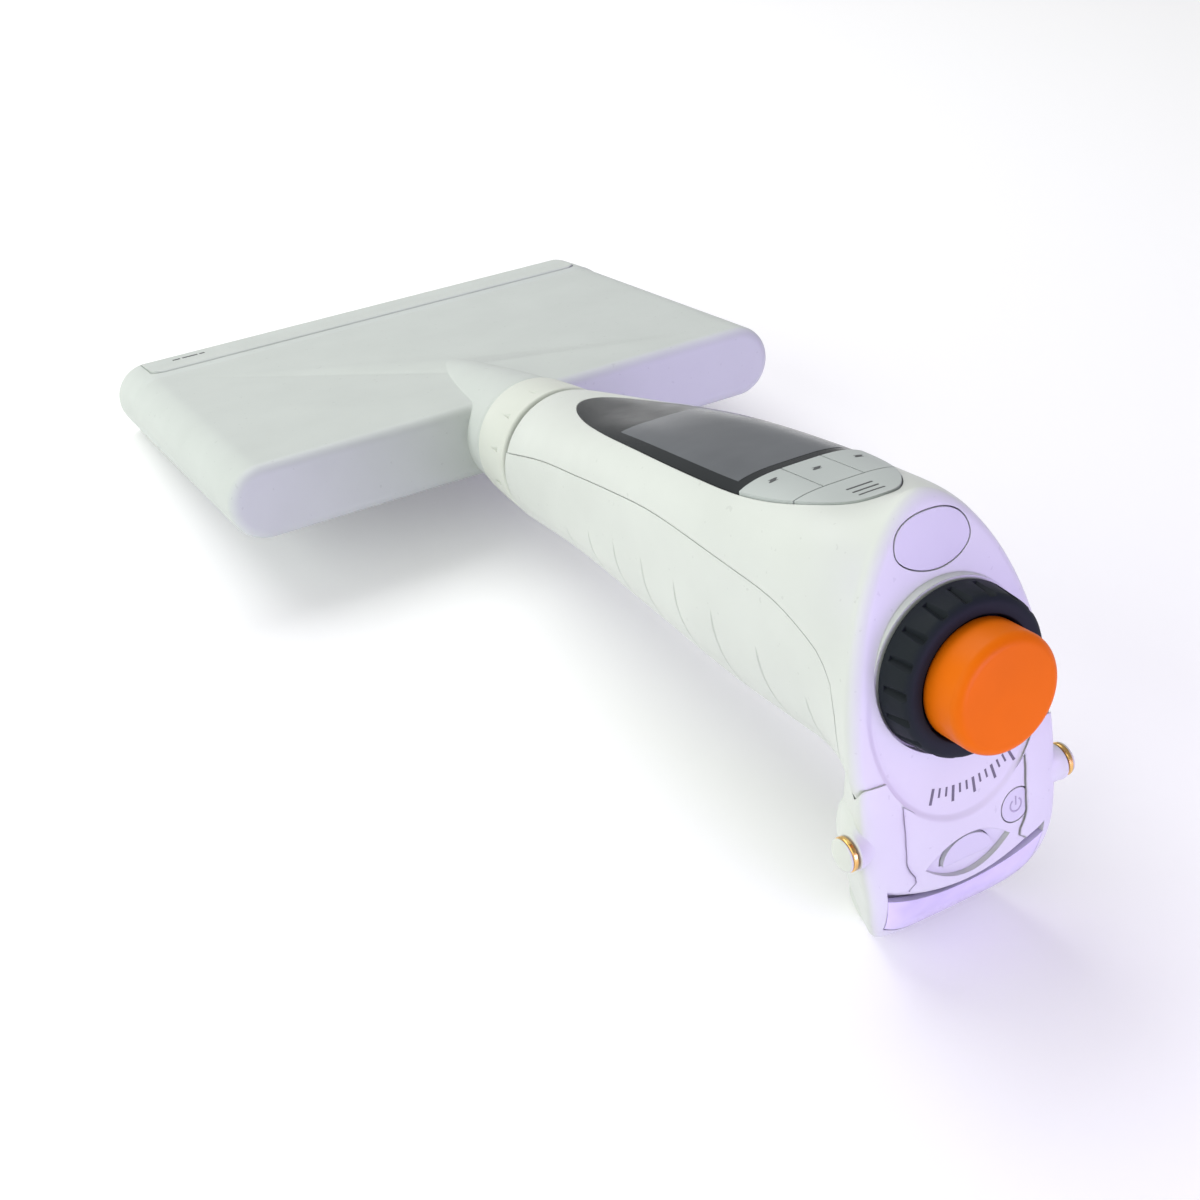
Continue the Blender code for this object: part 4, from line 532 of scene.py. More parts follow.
def face_rings(inset, hole):
    """Rings from the flare through the rim and the face to the hole for the wheel's hub."""
    base = [handle_radius(FLARE_START, a, inset) for a in angles()]
    full = [edge - inset for edge in FACE_REACH]
    back = 2 * max(0.0, -inset)
    lift = inset + back if inset <= 0.0 else 0.0
    ends = [rim_y(a, edge) + lift for a, edge in zip(angles(), FACE_REACH)]
    shares = [1.0 if inset <= 0.0 else (end + inset - FLARE_START) / (end - FLARE_START) for end in ends]
    reach = [b + (f - b) * share**FLARE_EASE for b, f, share in zip(base, full, shares)]
    pad = WHEEL_RADIUS + GAP
    start = [radius - FACE_FILLET for radius in reach]
    soft = [min(0.0012, (radius - pad) * 0.5) for radius in start]
    dish_reach = [
        max(min(dish, edge - width / 2 - 0.0001), pad + width / 2 + 0.0001)
        for dish, edge, width in zip(DISH_REACH, start, soft)
    ]

    def ring_at(radii, lift=0.0, dish=0.0):
        ring = []
        for a, radius in zip(angles(), radii):
            x = radius * math.cos(a)
            z = WHEEL_Z + radius * math.sin(a)
            fade = min(1.0, max(0.0, (DISH_FADE[0] - z) / (DISH_FADE[0] - DISH_FADE[1])))
            depth = DISH_DEPTH * fade * fade * (3 - 2 * fade) * (3 * dish**2 - 2 * dish**3)
            ring.append(Vector((x, face_y(x, z) + inset + lift + depth, z)))
        return ring

    def hub_ring(radius):
        """A level ring; on the inside it never comes nearer to the outer skin than the wall."""
        level = WHEEL_BASE + GAP + inset
        ring = ring_at([radius] * SIDES)
        return [Vector((p.x, level if inset <= 0.0 else max(p.y, level), p.z)) for p in ring]

    rings = []
    flare = 24 if inset <= 0.0 else 6
    for k in range(1, flare):
        ring = []
        for i, a in enumerate(angles()):
            share = shares[i] * k / flare
            radius = base[i] + (full[i] - base[i]) * share**FLARE_EASE
            y = FLARE_START + (ends[i] - FLARE_START) * share
            ring.append(Vector((radius * math.cos(a), y, WHEEL_Z + radius * math.sin(a))))
        rings.append(ring)
    fillet = 10 if inset <= 0.0 else 3
    for k, (off, rise) in enumerate(quarter(FACE_FILLET, fillet)):
        lift = rise + (back if k == 0 else 0.0)
        rings.append(ring_at([radius - off for radius in reach], lift))
    if inset <= 0.0:
        for k in range(1, 5):
            spans = zip(start, dish_reach, soft)
            rings.append(ring_at([a + (b + w / 2 - a) * k / 5 for a, b, w in spans]))
        for share in fractions(8):
            radii = [r - w * (share - 0.5) for r, w in zip(dish_reach, soft)]
            rings.append(ring_at(radii, dish=share))
        for share in fractions(5)[1:]:
            radii = [(r - w / 2) * (1 - share) + (pad + 0.00002) * share for r, w in zip(dish_reach, soft)]
            rings.append(ring_at(radii, dish=1.0))
    mouth = pad if inset <= 0.0 else ENCODER_RADIUS + 2 * GAP
    return rings + [hub_ring(mouth), hub_ring(hole)]


def casing_rings(inset, hole, neck=NECK_END):
    """Rings of the casing's skin, from its neck to the hole in its end face."""
    count = 44 if inset <= 0.0 else 10
    rings = []
    if inset <= 0.0:
        for along, off in quarter(NECK_EDGE, 4):
            ring = handle_ring(neck, inset + off)
            rings.append([Vector((p.x, neck - along, p.z)) for p in ring])
    else:
        rings.append(handle_ring(neck, inset))
    span = FLARE_START - neck + NECK_EDGE
    rings += [handle_ring(neck - NECK_EDGE + span * i / count, inset) for i in range(1, count + 1)]
    return rings + face_rings(inset, hole)


def casing_blank(growth=0.0, neck=NECK_END):
    """The whole hollow casing of the handle, before it is cut into its pieces."""
    hole = HUB_RADIUS + GAP
    outer = casing_rings(-growth, hole, neck)
    inner = casing_rings(WALL, hole, neck)
    return skin_rings(outer + inner[::-1], closed=True)


def casing_block(growth):
    return skin_rings(casing_rings(-growth, HUB_RADIUS))


def inset_outline(shrink=0.0):
    """The long egg of the display and its keys, as (x, y) points, shrunk all round."""
    half = []
    for share in fractions(96):
        turn = math.pi * share
        end, power, side_power = (INSET_START, 0.95, 1.0) if share <= 0.5 else (INSET_END, 0.84, 1.05)
        length = (abs(end - INSET_WIDEST) - shrink) * abs(math.cos(turn)) ** power
        across = (INSET_HALF - shrink) * math.sin(turn) ** side_power
        half.append((across, INSET_WIDEST + math.copysign(length, end - INSET_WIDEST)))
    return mirrored(half)


def seam_outline(growth):
    """The region of the grip shell seen from the side, as (y, z) points."""
    points = []
    for share in fractions(60):
        y = SEAM_STATIONS[0] + (SEAM_STATIONS[-1] - SEAM_STATIONS[0]) * share
        points.append((y, smooth_value(SEAM_STATIONS, SEAM_HEIGHTS, y) + growth))
    corners = [
        (*points[-1], 0.0),
        (SEAM_END + 0.0004 - growth, SEAM_LOW + 0.008, 0.004),
        (SEAM_END - growth, SEAM_LOW, 0.004),
        (SEAM_END + 0.0012 - growth, SEAM_LOW - 0.006, 0.004),
        (SEAM_END + 0.0052 - growth, SEAM_FLOOR, 0.0),
        (SEAM_STATIONS[0], SEAM_FLOOR, 0.0),
    ]
    points += [tuple(p) for p in rounded_outline(corners, 6)[1:-1]]
    past = SEAM_STATIONS[0] + 0.004
    return points + [(past, SEAM_FLOOR), (past, SEAM_HEIGHTS[0] + growth)]


def key_outline(name, shrink):
    """The straight cuts that part the three soft keys and the menu key, as (x, y) points."""
    wide = INSET_HALF + 0.004
    low, high = {
        "soft_key_left": (-wide, -KEY_SPLIT - shrink),
        "soft_key_middle": (-KEY_SPLIT + shrink, KEY_SPLIT - shrink),
        "soft_key_right": (KEY_SPLIT + shrink, wide),
        "menu_key": (-wide, wide),
    }[name]
    if name == "menu_key":
        top, bottom = KEY_END - shrink, INSET_END - 0.004
    else:
        top, bottom = KEY_LINE - shrink, KEY_END + shrink
    return [(low, top), (high, top), (high, bottom), (low, bottom)]


def slab_ring(y, half_x, half_z):
    """A ring with full-round ends, at most half_z high, in the plane at y."""
    centre = half_x - half_z
    ring = []
    for side in (1, -1):
        for share in fractions(32):
            turn = math.pi * (0.5 - share)
            x = centre + half_z * math.cos(turn)
            ring.append(Vector((side * x, y, side * half_z * math.sin(turn))))
    return ring


def set_inputs(node, values):
    for name, value in values.items():
        node.inputs[name].default_value = value
    return node


def surface(name, colour, roughness, metallic=0.0, grain=0.00018, bump=0.04, mottle=0.03, specks=0.0,
            coat=0.0, specular=0.5):
    """A moulded or machined surface: fine grain as bump, soft changes of colour and gloss, a few dark
    specks, and edges that the light finds rounded."""
    made = bpy.data.materials.new(name)
    made.use_nodes = True
    nodes = made.node_tree.nodes
    link = made.node_tree.links.new
    shader = set_inputs(nodes["Principled BSDF"], {
        "Metallic": metallic, "Coat Weight": coat, "Coat Roughness": 0.15, "Specular IOR Level": specular,
    })
    place = nodes.new("ShaderNodeTexCoord").outputs["Object"]

    def noise(size, detail):
        node = set_inputs(nodes.new("ShaderNodeTexNoise"), {"Scale": 1.0 / size, "Detail": detail})
        link(place, node.inputs["Vector"])
        return node.outputs["Fac"]

    def spread(source, start, end, low, high):
        """The source's values from start to end, stretched to run from low to high."""
        node = set_inputs(nodes.new("ShaderNodeMapRange"), {
            "From Min": start, "From Max": end, "To Min": low, "To Max": high,
        })
        link(source, node.inputs["Value"])
        return node.outputs["Result"]

    def mixed(factor, first, second):
        node = nodes.new("ShaderNodeMix")
        node.data_type = "RGBA"
        link(factor, node.inputs[0])
        for socket, value in ((node.inputs[6], first), (node.inputs[7], second)):
            if isinstance(value, tuple):
                socket.default_value = value
            else:
                link(value, socket)
        return node.outputs[2]

    dim = tuple(c * (1 - mottle) for c in colour) + (1.0,)
    lit = tuple(min(1.0, c * (1 + mottle * 0.5)) for c in colour) + (1.0,)
    tint = mixed(spread(noise(0.013, 3.0), 0.3, 0.7, 0.0, 1.0), dim, lit)
    if specks:
        dark = tuple(c * 0.45 for c in colour) + (1.0,)
        tint = mixed(spread(noise(0.0011, 1.0), 0.735, 0.76, 0.0, specks), tint, dark)
    link(tint, shader.inputs["Base Color"])
    gloss = spread(noise(0.004, 2.0), 0.3, 0.7, roughness - 0.03, roughness + 0.03)
    link(gloss, shader.inputs["Roughness"])
    soft = set_inputs(nodes.new("ShaderNodeBevel"), {"Radius": BEVEL})
    soft.samples = 4
    raised = set_inputs(nodes.new("ShaderNodeBump"), {"Strength": bump, "Distance": grain * 0.25})
    link(noise(grain, 2.0), raised.inputs["Height"])
    link(soft.outputs["Normal"], raised.inputs["Normal"])
    link(raised.outputs["Normal"], shader.inputs["Normal"])
    return made


SHELL = surface("shell_plastic", (0.680, 0.705, 0.675), 0.45, specks=0.15, specular=0.35)
HEAD = surface("head_plastic", (0.600, 0.635, 0.615), 0.48, specks=0.15, specular=0.3)
RING = surface("ring_plastic", (0.690, 0.715, 0.660), 0.42, specular=0.35)
KEY = surface("key_plastic", (0.500, 0.535, 0.530), 0.48, specular=0.3)
FACE_KEY = surface("face_key_plastic", (0.640, 0.655, 0.665), 0.45, specular=0.3)
RUBBER = surface("black_rubber", (0.013, 0.017, 0.021), 0.6, grain=0.00012, bump=0.3, specular=0.12)
ORANGE = surface("orange_plastic", (0.760, 0.150, 0.001), 0.42, mottle=0.05, specular=0.10)
LENS = surface("dark_lens", (0.030, 0.033, 0.036), 0.20, bump=0.0, mottle=0.1, specular=0.16)
GLASS = surface("display_glass", (0.146, 0.154, 0.170), 0.20, bump=0.0, mottle=0.12, specular=0.18)
INK = surface("grey_ink", (0.085, 0.090, 0.095), 0.5, mottle=0.15)
PRINT = surface("face_print", (0.150, 0.145, 0.165), 0.5, mottle=0.15)
# Painted shade: the on/off symbol's embossed relief is not modelled; the shade along its lines is painted in
# this grey-lavender colour instead.
EMBOSS_PAINTED_SHADE = surface("embossed_line_painted_shade", (0.440, 0.420, 0.490), 0.5, mottle=0.10)
GOLD = surface("gold_plating", (0.92, 0.58, 0.20), 0.25, metallic=1.0, grain=0.0001)
STEEL = surface("steel", (0.62, 0.62, 0.63), 0.3, metallic=1.0, grain=0.0001)
BRASS = surface("brass", (0.75, 0.58, 0.28), 0.35, metallic=1.0, grain=0.0001)
INNER = surface("inner_plastic", (0.42, 0.44, 0.46), 0.5)
BOARD = surface("board_green", (0.03, 0.16, 0.08), 0.45, mottle=0.25)
CONE = surface("cone_plastic", (0.66, 0.68, 0.70), 0.35)
BATTERY = surface("battery_sleeve", (0.06, 0.13, 0.30), 0.4, mottle=0.1)
CARD = surface("label_card", (0.66, 0.65, 0.68), 0.85, mottle=0.04)
# Painted reflection: the strong mottle on the clear window paints blotchy streaks of reflected light over
# its tint.
WINDOW_PAINTED_STREAKS = surface("clear_window_painted_reflection", (0.72, 0.68, 0.86), 0.16, bump=0.0, mottle=0.3, coat=0.3)


def paint_frame():
    """Gives each CAD node the material of the first group with the start of its name."""
    groups = (
        (INNER, ("motor_bracket", "nozzle_plate", "piston_rack", "swivel_bush", "key_mat", "button_switch")),
        (BRASS, ("motor_pinion", "lead_nut", "drive_gear")),
        (STEEL, ("motor", "guide_rod", "lead_screw")),
        (BOARD, ("wheel_encoder", "main_board", "end_board")),
        (CONE, ("tip_cone",)),
        (BATTERY, ("battery",)),
        (GLASS, ("lcd_module",)),
        (CARD, ("label_card",)),
    )
    for name, obj in frame["nodes"].items():
        paints = [paint for paint, starts in groups if name.startswith(starts)]
        if paints:
            obj.data.materials.clear()
            obj.data.materials.append(paints[0])


def strip_outline(half, low):
    """The ejector seen on the head's flat side: two rounded corners, and open past the tip edge."""
    past = HEAD_HEIGHT + 0.004
    return rounded_outline([(half, low, EJECTOR_CORNER), (half, past, 0.0), (-half, past, 0.0),
                            (-half, low, EJECTOR_CORNER)])


def head_piece():
    half_x = HEAD_WIDTH / 2
    half_z = HEAD_DEPTH / 2
    line = HEAD_HEIGHT - EJECTOR_DEPTH
    rings = [slab_ring(along, half_x - off, half_z - off) for along, off in quarter(HEAD_EDGE, 12)]
    for share in fractions(8):
        rise = HEAD_RAISE * (3 * share**2 - 2 * share**3)
        rings.append(slab_ring(line - HEAD_RAMP * (1 - share), half_x, half_z + rise))
    for off, along in quarter(TIP_EDGE, 6):
        rings.append(slab_ring(HEAD_HEIGHT - along, half_x - off, half_z - off))
    length = BULGE_LENGTH * 1.04
    places = (0.0, BULGE_LENGTH * 0.35, BULGE_LENGTH * 0.7, length)
    radii = (BULGE_RADIUS - 0.0005, BULGE_RADIUS * 0.845, BULGE_RADIUS * 0.715, half_z - 0.0006)
    bulge = [(BULGE_START, BULGE_RADIUS - 0.0003), (BULGE_START * 0.9, BULGE_RADIUS)]
    bulge += [(length * share, smooth_value(places, radii, length * share)) for share in fractions(24)]
    cavity = [slab_ring(y, half_x - WALL, half_z - WALL) for y in (WALL, HEAD_HEIGHT + WALL)]
    flange_end = TUBE_END + 0.0018
    root = BULGE_START + 0.001
    tube = [
        (TUBE_END, TUBE_BORE), (TUBE_END, TUBE_FLANGE),
        (flange_end, TUBE_FLANGE), (flange_end, TUBE_RADIUS),
        (root, TUBE_RADIUS), (root, TUBE_BORE),
    ]
    body = carve(
        skin_rings(rings),
        add(turned(bulge, 128)),
        cut(skin_rings(cavity)),
        add(turned(tube, 96, closed=True)),
        cut(rod(BULGE_START - 0.002, 2 * WALL, TUBE_BORE - 0.0006, 48)),
        cut(prism(strip_outline(EJECTOR_HALF + SEAM, line - SEAM), -0.012, 0.012, "Z")),
    )
    piece("dressed_head", body, "head", HEAD, "head_housing")


def ejector_piece():
    half_z = HEAD_DEPTH / 2
    low = HEAD_HEIGHT - EJECTOR_DEPTH
    inner = half_z - WALL
    profile = [(low + 0.8 * EJECTOR_LIP * along, half_z + EJECTOR_LIP * (1 - 0.7 * across))
               for along, across in quarter(1.0, 6)]
    profile += [(HEAD_HEIGHT - along, half_z - off) for off, along in quarter(TIP_EDGE, 6)]
    inside = [(HEAD_HEIGHT - EJECTOR_PLATE, inner), (low, inner)]
    outline = profile + [(y, -z) for y, z in reversed(profile)]
    outline += [(y, -z) for y, z in reversed(inside)] + inside
    first = -(CHANNELS - 1) * PITCH / 2
    places = [(first + i * PITCH, 0.0) for i in range(CHANNELS)]
    bore = CONE_RADIUS + 2 * GAP
    holes = [rod(HEAD_HEIGHT - 0.005, HEAD_HEIGHT + 0.003, bore, 32, place) for place in places]
    strip = carve(
        prism(outline, -EJECTOR_HALF, EJECTOR_HALF, "X"),
        keep(prism(strip_outline(EJECTOR_HALF, low), -0.012, 0.012, "Z")),
        cut(joined(holes)),
    )
    piece("dressed_ejector", strip, "tip_ejector", HEAD, "tip_ejector")


def ring_piece():
    rim = RING_RADIUS + RING_GROWTH
    inner = TUBE_RADIUS + GAP
    middle = (RING_START + RING_END) / 2
    profile = [(RING_START, inner)]
    profile += [(RING_START - along, RING_RADIUS - off) for along, off in quarter(0.0006, 4)]
    profile.append((middle, RING_RADIUS + RING_GROWTH * 0.6))
    profile += [(RING_END + along, rim - off) for along, off in reversed(quarter(0.0007, 4))]
    profile.append((RING_END, inner))
    reach = rim + 0.0002
    nicks = []
    for i in range(RING_NICKS):
        turn = 2 * math.pi * (i + 0.42) / RING_NICKS
        place = Vector((reach * math.cos(turn), middle - 0.0018, reach * math.sin(turn)))
        nicks.append(nick(3, 0.5, RING_NICK_SIZE, math.pi / 3 - turn, place))
    ring = carve(turned(profile, 192, closed=True), cut(joined(nicks)))
    piece("dressed_ring", ring, "coupling_ring", RING, "coupling_ring")


def eject_key_outline(shrink):
    """A rounded pick: flatter above its widest line than below it."""
    half = []
    for share in fractions(48):
        turn = math.pi * (0.5 - share)
        power, height = (2.3, EJECT_KEY_UP) if turn > 0 else (1.85, EJECT_KEY_DOWN)
        x = (EJECT_KEY_HALF - shrink) * abs(math.cos(turn)) ** (2 / power)
        z = (height - shrink) * abs(math.sin(turn)) ** (2 / power)
        half.append((x, EJECT_KEY_Z + math.copysign(z, turn)))
    return mirrored(half)


def circle(x, z, radius):
    return [(x + radius * cos, z + radius * sin) for cos, sin in around(64)]


def leaf_outline():
    """A pointed leaf from two arcs of parabolas."""
    places = [LEAF_HALF * (2 * share - 1) for share in fractions(32)]
    upper = [(x, LEAF_Z + LEAF_HEIGHT * (1 - (x / LEAF_HALF) ** 2)) for x in places]
    lower = [(x, 2 * LEAF_Z - z) for x, z in reversed(upper[1:-1])]
    return upper + lower


def latch_outline(shrink):
    """The tab: a half oval with a flat foot, from its left end over the top to its right end."""
    foot = LATCH_FOOT + shrink
    height = LATCH_HEIGHT - 2 * shrink
    half = LATCH_HALF - shrink
    turns = [math.pi * (1 - share) for share in fractions(40)]
    return [(half * math.cos(turn), foot + height * math.sin(turn)) for turn in turns]


def skin_radius(y, angle):
    """Distance from the middle of the handle to its skin, also in the flare before the end face."""
    radius = handle_radius(y, angle, 0.0)
    if y < FLARE_START:
        reach = radius_toward(FACE_LINE, angle, WHEEL_Z)
        share = min(1.0, (FLARE_START - y) / (FLARE_START - rim_y(angle, reach)))
        radius += (reach - radius) * share**FLARE_EASE
    return radius


def rib_cutter(number, side):
    """A fine groove that runs down round the grip from its top end, following the skin."""
    start = RIB_STARTS[number]
    top = RIB_TOPS[number]
    rows = []
    middle = polar_centre(start)
    low = smooth_value(STATIONS, BOTTOMS, start) + 0.0008
    for share in fractions(24):
        z = top + (low - top) * share
        along = start - RIB_SLANT * share * share
        drop = (z - middle) / (low - middle)
        angle = math.atan2(z - middle, RIB_REACH * math.sqrt(max(0.02, 1 - drop * drop)))
        radius = skin_radius(along, angle)
        out = Vector((side * math.cos(angle), 0.0, math.sin(angle)))
        centre = Vector((side * radius * math.cos(angle), along, middle + radius * math.sin(angle)))
        fade = min(1.0, 6 * share, 4 * (1 - share))
        half = RIB_WIDTH / 2
        rows.append([
            centre - out * (RIB_DEPTH * fade - 0.0001 * (1 - fade)),
            centre + out * 0.0006 + Vector((0.0, half * 1.8, 0.0)),
            centre + out * 0.0006 - Vector((0.0, half, 0.0)),
        ])
    return skin_rings(rows)


def shell_pieces():
    blank = casing_blank()
    hole_end = face_y(0.0, EJECT_KEY_Z + EJECT_KEY_UP) + WALL + 0.0014
    power_end = face_y(POWER_KEY_X, POWER_KEY_Z) + WALL + 0.0006
    leaf_floor = face_y(0.0, LEAF_Z) + LEAF_DEPTH
    latch_end = face_y(0.0, LEAF_Z) + WALL + 0.0006
    upper = carve(
        blank.copy(),
        cut(prism(seam_outline(0.0), -0.03, 0.03, "X")),
        cut(prism(inset_outline(), *TOP_DEPTHS, "Z")),
        cut(prism(eject_key_outline(0.0), FACE_FRONT, hole_end, "Y")),
        cut(prism(circle(POWER_KEY_X, POWER_KEY_Z, POWER_KEY_RADIUS + LINE), FACE_FRONT, power_end, "Y")),
        cut(prism(leaf_outline(), FACE_FRONT, leaf_floor, "Y")),
        cut(prism(latch_outline(0.0), FACE_FRONT, latch_end, "Y")),
    )
    piece("dressed_upper", upper, "handle", SHELL, "upper_shell")
    ribs = [rib_cutter(n, side) for n in range(len(RIB_STARTS)) for side in (1, -1)]
    grip = carve(
        casing_blank(0.0, NECK_END + 0.0004),
        keep(prism(seam_outline(-SEAM), -0.03, 0.03, "X")),
        cut(joined(ribs)),
    )
    piece("dressed_grip", grip, "handle", SHELL, "grip_shell")
    wide = INSET_HALF + 0.004
    above = [(-wide, KEY_LINE), (wide, KEY_LINE), (wide, 0.0), (-wide, 0.0)]
    lens = carve(
        prism(inset_outline(LINE), *TOP_DEPTHS, "Z"),
        keep(blank.copy()),
        keep(prism(above, 0.0, 0.04, "Z")),
    )
    piece("dressed_lens", lens, "handle", LENS, "display_lens")
    window = [(x, y) for x, y in inset_outline(LCD_MARGIN) if LCD_END < y < LCD_START]
    display = carve(prism(window, *TOP_DEPTHS, "Z"), keep(casing_blank(PROUD)))
    piece("lcd_window", display, "handle", GLASS)
    raised = casing_blank(KEY_RISE)
    for name in ("soft_key_left", "soft_key_middle", "soft_key_right", "menu_key"):
        key = carve(
            prism(inset_outline(LINE), *TOP_DEPTHS, "Z"),
            keep(raised.copy()),
            keep(prism(key_outline(name, LINE / 2), 0.0, 0.04, "Z")),
        )
        piece(f"dressed_{name}", key, name, KEY, name)
    raised.free()
    key = carve(
        prism(eject_key_outline(LINE), FACE_FRONT, face_y(0.0, EJECT_KEY_Z + EJECT_KEY_UP) + WALL, "Y"),
        keep(blank.copy()),
    )
    piece("dressed_eject_key", key, "tip_eject_key", FACE_KEY, "tip_eject_key")
    key = carve(
        prism(circle(POWER_KEY_X, POWER_KEY_Z, POWER_KEY_RADIUS), FACE_FRONT, power_end, "Y"),
        keep(blank),
    )
    piece("dressed_power_key", key, "power_key", FACE_KEY, "power_key")
    floor = face_y(0.0, LEAF_Z)
    latch = prism(latch_outline(LINE), floor + 0.0003, floor + WALL, "Y")
    piece("dressed_latch", latch, "cover_latch", FACE_KEY, "cover_latch")


def wheel_pieces():
    front = WHEEL_BASE - WHEEL_DEPTH
    mouth = CAP_RADIUS + GAP
    floor = WHEEL_BASE - 0.0013
    stem = STEM_RADIUS + GAP
    behind = ENCODER_END + GAP
    profile = [
        (WHEEL_BASE, HUB_RADIUS), (WHEEL_BASE, WHEEL_RADIUS - 0.0003),
        (WHEEL_BASE - 0.0001, WHEEL_RADIUS - 0.0001), (WHEEL_BASE - 0.0004, WHEEL_RADIUS),
        (front + 0.0012, WHEEL_FRONT_RADIUS + 0.0001), (front + 0.0008, WHEEL_FRONT_RADIUS),
        (front + 0.0004, WHEEL_FRONT_RADIUS - 0.0003), (front + 0.0001, WHEEL_FRONT_RADIUS - 0.0007),
        (front, WHEEL_FRONT_RADIUS - 0.0011), (front, mouth + 0.0006),
        (front + 0.0001, mouth + 0.0002), (front + 0.0005, mouth),
        (floor, mouth), (floor, stem),
        (HUB_END, stem), (HUB_END, HUB_RADIUS + 0.0008),
        (behind, HUB_RADIUS + 0.0008), (behind, HUB_RADIUS),
    ]
    reach = WHEEL_RADIUS - 0.0001
    nick_y = WHEEL_BASE - WHEEL_DEPTH * 0.56
    nicks = []
    for i in range(WHEEL_NICKS):
        turn = 2 * math.pi * (i + 0.3) / WHEEL_NICKS
        place = Vector((reach * math.cos(turn), nick_y, WHEEL_Z - reach * math.sin(turn)))
        nicks.append(nick(4, 0.35, WHEEL_NICK_SIZE, turn, place))
    wheel = carve(turned(profile[::-1], 192, (0.0, WHEEL_Z), closed=True), cut(joined(nicks)))
    piece("dressed_wheel", wheel, "adjust_wheel", RUBBER, "adjust_wheel")
    crown = ((0.0002, 0.0004), (0.00019, CAP_RADIUS * 0.2), (0.00015, CAP_RADIUS * 0.5))
    cap = [(CAP_FRONT - rise, radius) for rise, radius in crown]
    cap += [(CAP_FRONT + along, CAP_RADIUS - off) for along, off in quarter(CAP_EDGE, 12)]
    cap += [(CAP_BASE, CAP_RADIUS), (CAP_BASE, STEM_RADIUS), (STEM_END, STEM_RADIUS)]
    piece("dressed_button", turned(cap, 128, (0.0, WHEEL_Z)), "operating_button", ORANGE, "operating_button")


def hook_stations():
    """The hook's outer y and z, its inner y and z and its half width, from its top to its tip."""
    stations = []
    for z, back, half in (
        (HOOK_TOP, -0.1245, 0.97),
        (-0.0135, -0.1238, 0.985),
        (-0.0188, -0.1228, 0.99),
        (-0.0240, -0.1220, 0.99),
        (-0.0285, -0.1214, 0.955),
    ):
        stations.append((face_y(0.0, z) + 0.0002, z, back, z * 0.98, HOOK_WIDTH * half))
    drop = HOOK_BOTTOM
    tip = HOOK_TIP
    return stations + [
        (-0.1322, drop + 0.0083, -0.1212, -0.0310, HOOK_WIDTH * 0.90),
        (-0.1300, drop + 0.0043, -0.1202, -0.0330, HOOK_WIDTH * 0.81),
        (-0.1268, drop + 0.0013, -0.1192, -0.0344, HOOK_WIDTH * 0.70),
        (-0.1228, drop, -0.1182, -0.0351, HOOK_WIDTH * 0.60),
        (tip - 0.0036, drop + 0.0003, -0.1172, -0.0353, HOOK_WIDTH * 0.54),
        (tip - 0.0013, drop + 0.0015, -0.1162, -0.0356, HOOK_TIP_HALF),
        (tip, drop + 0.0034, tip - 0.0003, -0.0366, HOOK_TIP_HALF * 0.86),
    ]


def hook_block(inset):
    rings = []
    for outer_y, outer_z, inner_y, inner_z, half in refined(hook_stations()):
        out = Vector((0.0, outer_y, outer_z))
        back = Vector((0.0, inner_y, inner_z))
        centre = (out + back) / 2
        reach = (out - back).length / 2 - inset
        aim = (out - back).normalized()
        ring = []
        for cos, sin in around(96):
            across = math.copysign(abs(cos) ** HOOK_POWER, cos)
            along = math.copysign(abs(sin) ** HOOK_POWER, sin)
            narrow = 1 - HOOK_TAPER * (1 - along) / 2
            ring.append(centre + aim * reach * along + Vector(((half - inset) * across * narrow, 0.0, 0.0)))
        rings.append(ring)
    return skin_rings(rings)


def window_outline(shrink, lift=0.0):
    """Strip under the end face's tongue, from its arc, raised by lift, down to the front of the hook."""
    upper = []
    lower = []
    for share in (1 - 2 * part for part in fractions(24)):
        x = WINDOW_HALF * share
        top = TONGUE_BOTTOM - TONGUE_SAG * (1 - (x / TONGUE_END_HALF) ** 2) - GAP
        upper.append(((WINDOW_HALF - shrink) * share, top - shrink + lift))
        drop = WINDOW_HEIGHT * (1 - 0.18 * share * share)
        lower.append(((WINDOW_HALF - 0.0008 - shrink) * share, top - drop + shrink))
    return upper + lower[::-1]


def pin_body(profile, side, sides=64):
    """A body turned about the X line through the contact pins; its profile lists (distance, radius)."""
    return skin_rings([
        [Vector((side * reach, PIN_Y + radius * cos, PIN_Z + radius * sin)) for cos, sin in around(sides)]
        for reach, radius in profile
    ])


def boss_body(profile, side):
    """The flared boss of a contact pin; its profile lists distance, added radius and shift back."""
    rings = []
    for reach, growth, shift in refined(profile):
        radius = PIN_BOSS_RADIUS + growth
        points = circle(PIN_Y + shift, PIN_Z, radius)
        rings.append([Vector((side * reach, y, z)) for y, z in points])
    return skin_rings(rings)


